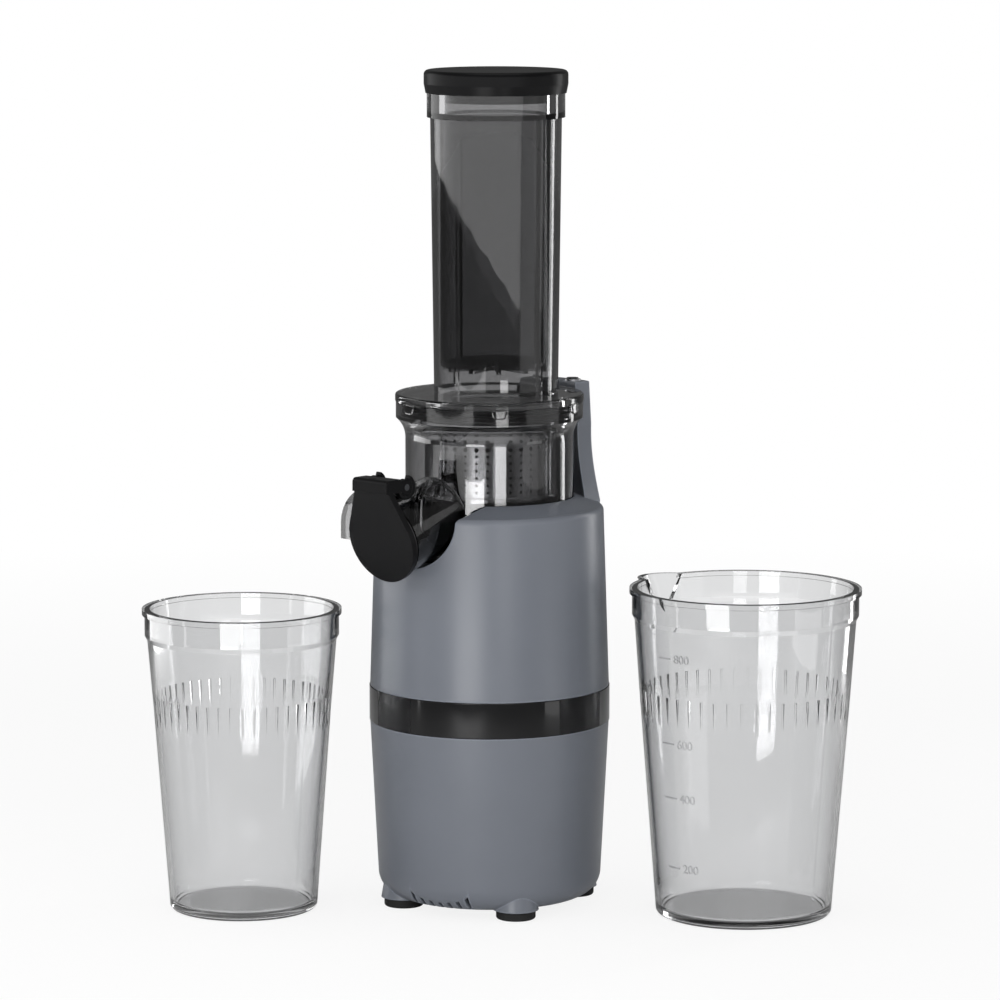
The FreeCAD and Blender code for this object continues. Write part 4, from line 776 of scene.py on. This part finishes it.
@dataclass
class CapTrim:
    """Hooked arms of the spout cap round its hinge, and the slot in its lever."""

    hinge: Point = (0.0, -0.066, 0.1992)
    inner: float = 0.0037
    outer: float = 0.0056
    arm: tuple[float, float] = (0.0074, 0.0104)
    sweep: float = 230.0
    start: float = 70.0
    steps: int = 22
    bevel: float = 0.0004
    bevel_angle: float = 40.0
    weld: float = 0.000001
    slot_bevel: float = 0.0001
    slot_size: Point = (0.0034, 0.0016, 0.0003)
    slot_place: Point = (-0.001, -0.0765, 0.2032)

    def build(self, bench: Bench) -> None:
        """Makes the two hooks and the slot.

        Args:
            bench: the modelling steps.
        """
        for side, name in ((1.0, "cap_hook_right"), (-1.0, "cap_hook_left")):
            self.hook(bench, side, name)
        self.slot(bench)

    def hook(self, bench: Bench, side: float, name: str) -> None:
        """Sweeps a small block round the hinge.

        Args:
            bench: the modelling steps.
            side: 1 for the right arm, -1 for the left.
            name: the piece's name.
        """
        centre = AXIS + Vector(self.hinge)
        middle = side * (self.arm[0] + self.arm[1]) / 2.0
        begin = math.radians(self.start)
        heading = Vector((0.0, math.cos(begin), math.sin(begin)))
        bench.clear()
        place = centre + Vector((middle, 0.0, 0.0)) + heading * (self.inner + self.outer) / 2.0
        bpy.ops.mesh.primitive_plane_add(size=1.0, location=place, rotation=(begin, 0.0, 0.0))
        block = bpy.context.object
        block.scale = (self.arm[1] - self.arm[0], self.outer - self.inner, 1.0)
        bench.settle(block)
        bpy.ops.object.mode_set(mode="EDIT")
        bpy.ops.mesh.select_all(action="SELECT")
        bpy.ops.mesh.spin(
            steps=self.steps,
            dupli=False,
            angle=math.radians(self.sweep),
            center=centre + Vector((middle, 0.0, 0.0)),
            axis=(1.0, 0.0, 0.0),
        )
        bpy.ops.mesh.select_all(action="SELECT")
        bpy.ops.mesh.remove_doubles(threshold=self.weld)
        bpy.ops.mesh.normals_make_consistent(inside=False)
        bpy.ops.object.mode_set(mode="OBJECT")
        bench.apply(block, "BEVEL", width=self.bevel, segments=3, limit_method="ANGLE")
        bench.smooth(block, self.bevel_angle)
        bench.give(block, name, Body.SPOUT_FLAP, Slot.CAP)

    def slot(self, bench: Bench) -> None:
        """Makes the shallow dark slot in the lever's top.

        Args:
            bench: the modelling steps.
        """
        bench.clear()
        bpy.ops.mesh.primitive_cube_add(size=1.0, location=AXIS + Vector(self.slot_place))
        slot = bpy.context.object
        slot.scale = self.slot_size
        bench.settle(slot)
        bench.apply(slot, "BEVEL", width=self.slot_bevel, segments=2)
        bench.smooth(slot)
        bench.give(slot, "lever_slot", Body.SPOUT_FLAP, Slot.RUBBER)


@dataclass
class LidTrim:
    """Locking tabs that hang from the lid over the bowl's rim."""

    turns: tuple[float, ...] = (-42.0, 15.0, 165.0, -105.0)
    radius: float = 0.0429
    size: Point = (0.0008, 0.0074, 0.0042)
    top: float = 0.2322
    gap: float = 0.0001
    taper: float = 0.35
    cuts: int = 5
    bevel: float = 0.0003
    smooth_angle: float = 40.0

    def build(self, bench: Bench) -> None:
        """Models one tab and copies it round the lid.

        Args:
            bench: the modelling steps.
        """
        bench.clear()
        out = self.radius + self.size[0] / 2.0 + self.gap
        middle = self.top - self.size[2] / 2.0
        bpy.ops.mesh.primitive_cube_add(size=1.0, location=(out, 0.0, middle))
        tab = bpy.context.object
        tab.scale = self.size
        bench.settle(tab)
        bpy.ops.object.mode_set(mode="EDIT")
        bpy.ops.mesh.select_all(action="SELECT")
        bpy.ops.mesh.subdivide(number_cuts=self.cuts)
        bpy.ops.object.mode_set(mode="OBJECT")
        for vertex in tab.data.vertices:
            drop = (self.top - vertex.co.z) / self.size[2]
            vertex.co.y *= 1.0 - self.taper * drop * drop
            vertex.co.x -= vertex.co.y * vertex.co.y / (2.0 * self.radius)
        bench.apply(tab, "BEVEL", width=self.bevel, segments=2, limit_method="ANGLE")
        bench.smooth(tab, self.smooth_angle)
        for number, turn in enumerate(self.turns, start=1):
            piece = bpy.data.objects.new("tab", tab.data.copy())
            bpy.context.scene.collection.objects.link(piece)
            turned = Matrix.Rotation(math.radians(turn), 4, "Z")
            piece.data.transform(Matrix.Translation(AXIS) @ turned)
            bench.give(piece, f"lid_tab_{number}", Body.LID, Slot.SMOKED)
        bpy.data.objects.remove(tab)


@dataclass
class JugScale:
    """Graduation on the juice jug: short marks with plain numbers.

    The marks' heights are not worked out from the jug's volume, and the jug holds less at each of them
    than its number says.
    """

    turn: float = -93.0
    levels: tuple[tuple[float, str], ...] = (
        (0.0262, "200"),
        (0.0585, "400"),
        (0.0835, "600"),
        (0.1225, "800"),
    )
    foot_radius: float = 0.040
    belt_radius: float = 0.0474
    top_radius: float = 0.0505
    belt_height: float = 0.097
    top_rise: float = 0.05
    mark: tuple[float, float] = (0.007, 0.0006)
    mark_shift: float = -0.004
    words_shift: float = 0.0015
    cuts: int = 6
    relief: float = 0.0003
    clearance: float = 0.00012
    text_size: float = 0.0056

    def wall(self, height: float) -> float:
        """Gives the jug's outer radius.

        Args:
            height: height above the floor.

        Returns:
            The radius at that height.
        """
        if height < self.belt_height:
            widening = self.belt_radius - self.foot_radius
            return self.foot_radius + widening * height / self.belt_height
        widening = self.top_radius - self.belt_radius
        return self.belt_radius + widening * (height - self.belt_height) / self.top_rise

    def build(self, bench: Bench) -> None:
        """Makes the marks and numbers and joins them into one piece.

        Args:
            bench: the modelling steps.
        """
        parts: list[bpy.types.Object] = []
        for height, words in self.levels:
            bench.clear()
            bpy.ops.mesh.primitive_plane_add(size=1.0)
            mark = bpy.context.object
            mark.scale = (self.mark[0], self.mark[1], 1.0)
            bench.settle(mark)
            bpy.ops.object.mode_set(mode="EDIT")
            bpy.ops.mesh.select_all(action="SELECT")
            bpy.ops.mesh.subdivide(number_cuts=self.cuts)
            bpy.ops.object.mode_set(mode="OBJECT")
            self.wrap(mark, height, self.mark_shift)
            parts.append(mark)
            bench.clear()
            bpy.ops.object.text_add()
            words_object = bpy.context.object
            words_object.data.body = words
            words_object.data.size = self.text_size
            words_object.data.align_x = "LEFT"
            words_object.data.align_y = "CENTER"
            bench.only(words_object)
            bpy.ops.object.convert(target="MESH")
            self.wrap(words_object, height, self.words_shift)
            parts.append(words_object)
        bench.clear()
        for part in parts:
            part.select_set(True)
        bpy.context.view_layer.objects.active = parts[0]
        bpy.ops.object.join()
        scale = bpy.context.object
        bench.apply(scale, "SOLIDIFY", thickness=self.relief, offset=1.0)
        bench.give(scale, "jug_scale", Body.JUG, Slot.CLEAR)

    def wrap(self, piece: bpy.types.Object, height: float, shift: float) -> None:
        """Lays a flat piece on the jug's wall.

        Args:
            piece: the flat mesh around its origin.
            height: height of its middle.
            shift: how far along the wall it starts.
        """
        for vertex in piece.data.vertices:
            level = height + vertex.co.y
            radius = self.wall(level) + self.clearance
            angle = math.radians(self.turn) + (vertex.co.x + shift) / radius
            vertex.co = JUG + Vector((math.cos(angle) * radius, math.sin(angle) * radius, level))


def main() -> None:
    """Builds the scene in order and reports each piece."""
    logging.basicConfig(level=logging.INFO, format="%(message)s")
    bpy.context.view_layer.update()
    wardrobe = Wardrobe()
    bench = Bench(wardrobe)
    Studio().build()
    PackedParts().dress(wardrobe)
    CapTrim().build(bench)
    LidTrim().build(bench)
    JugScale().build(bench)


if __name__ == "__main__":
    main()
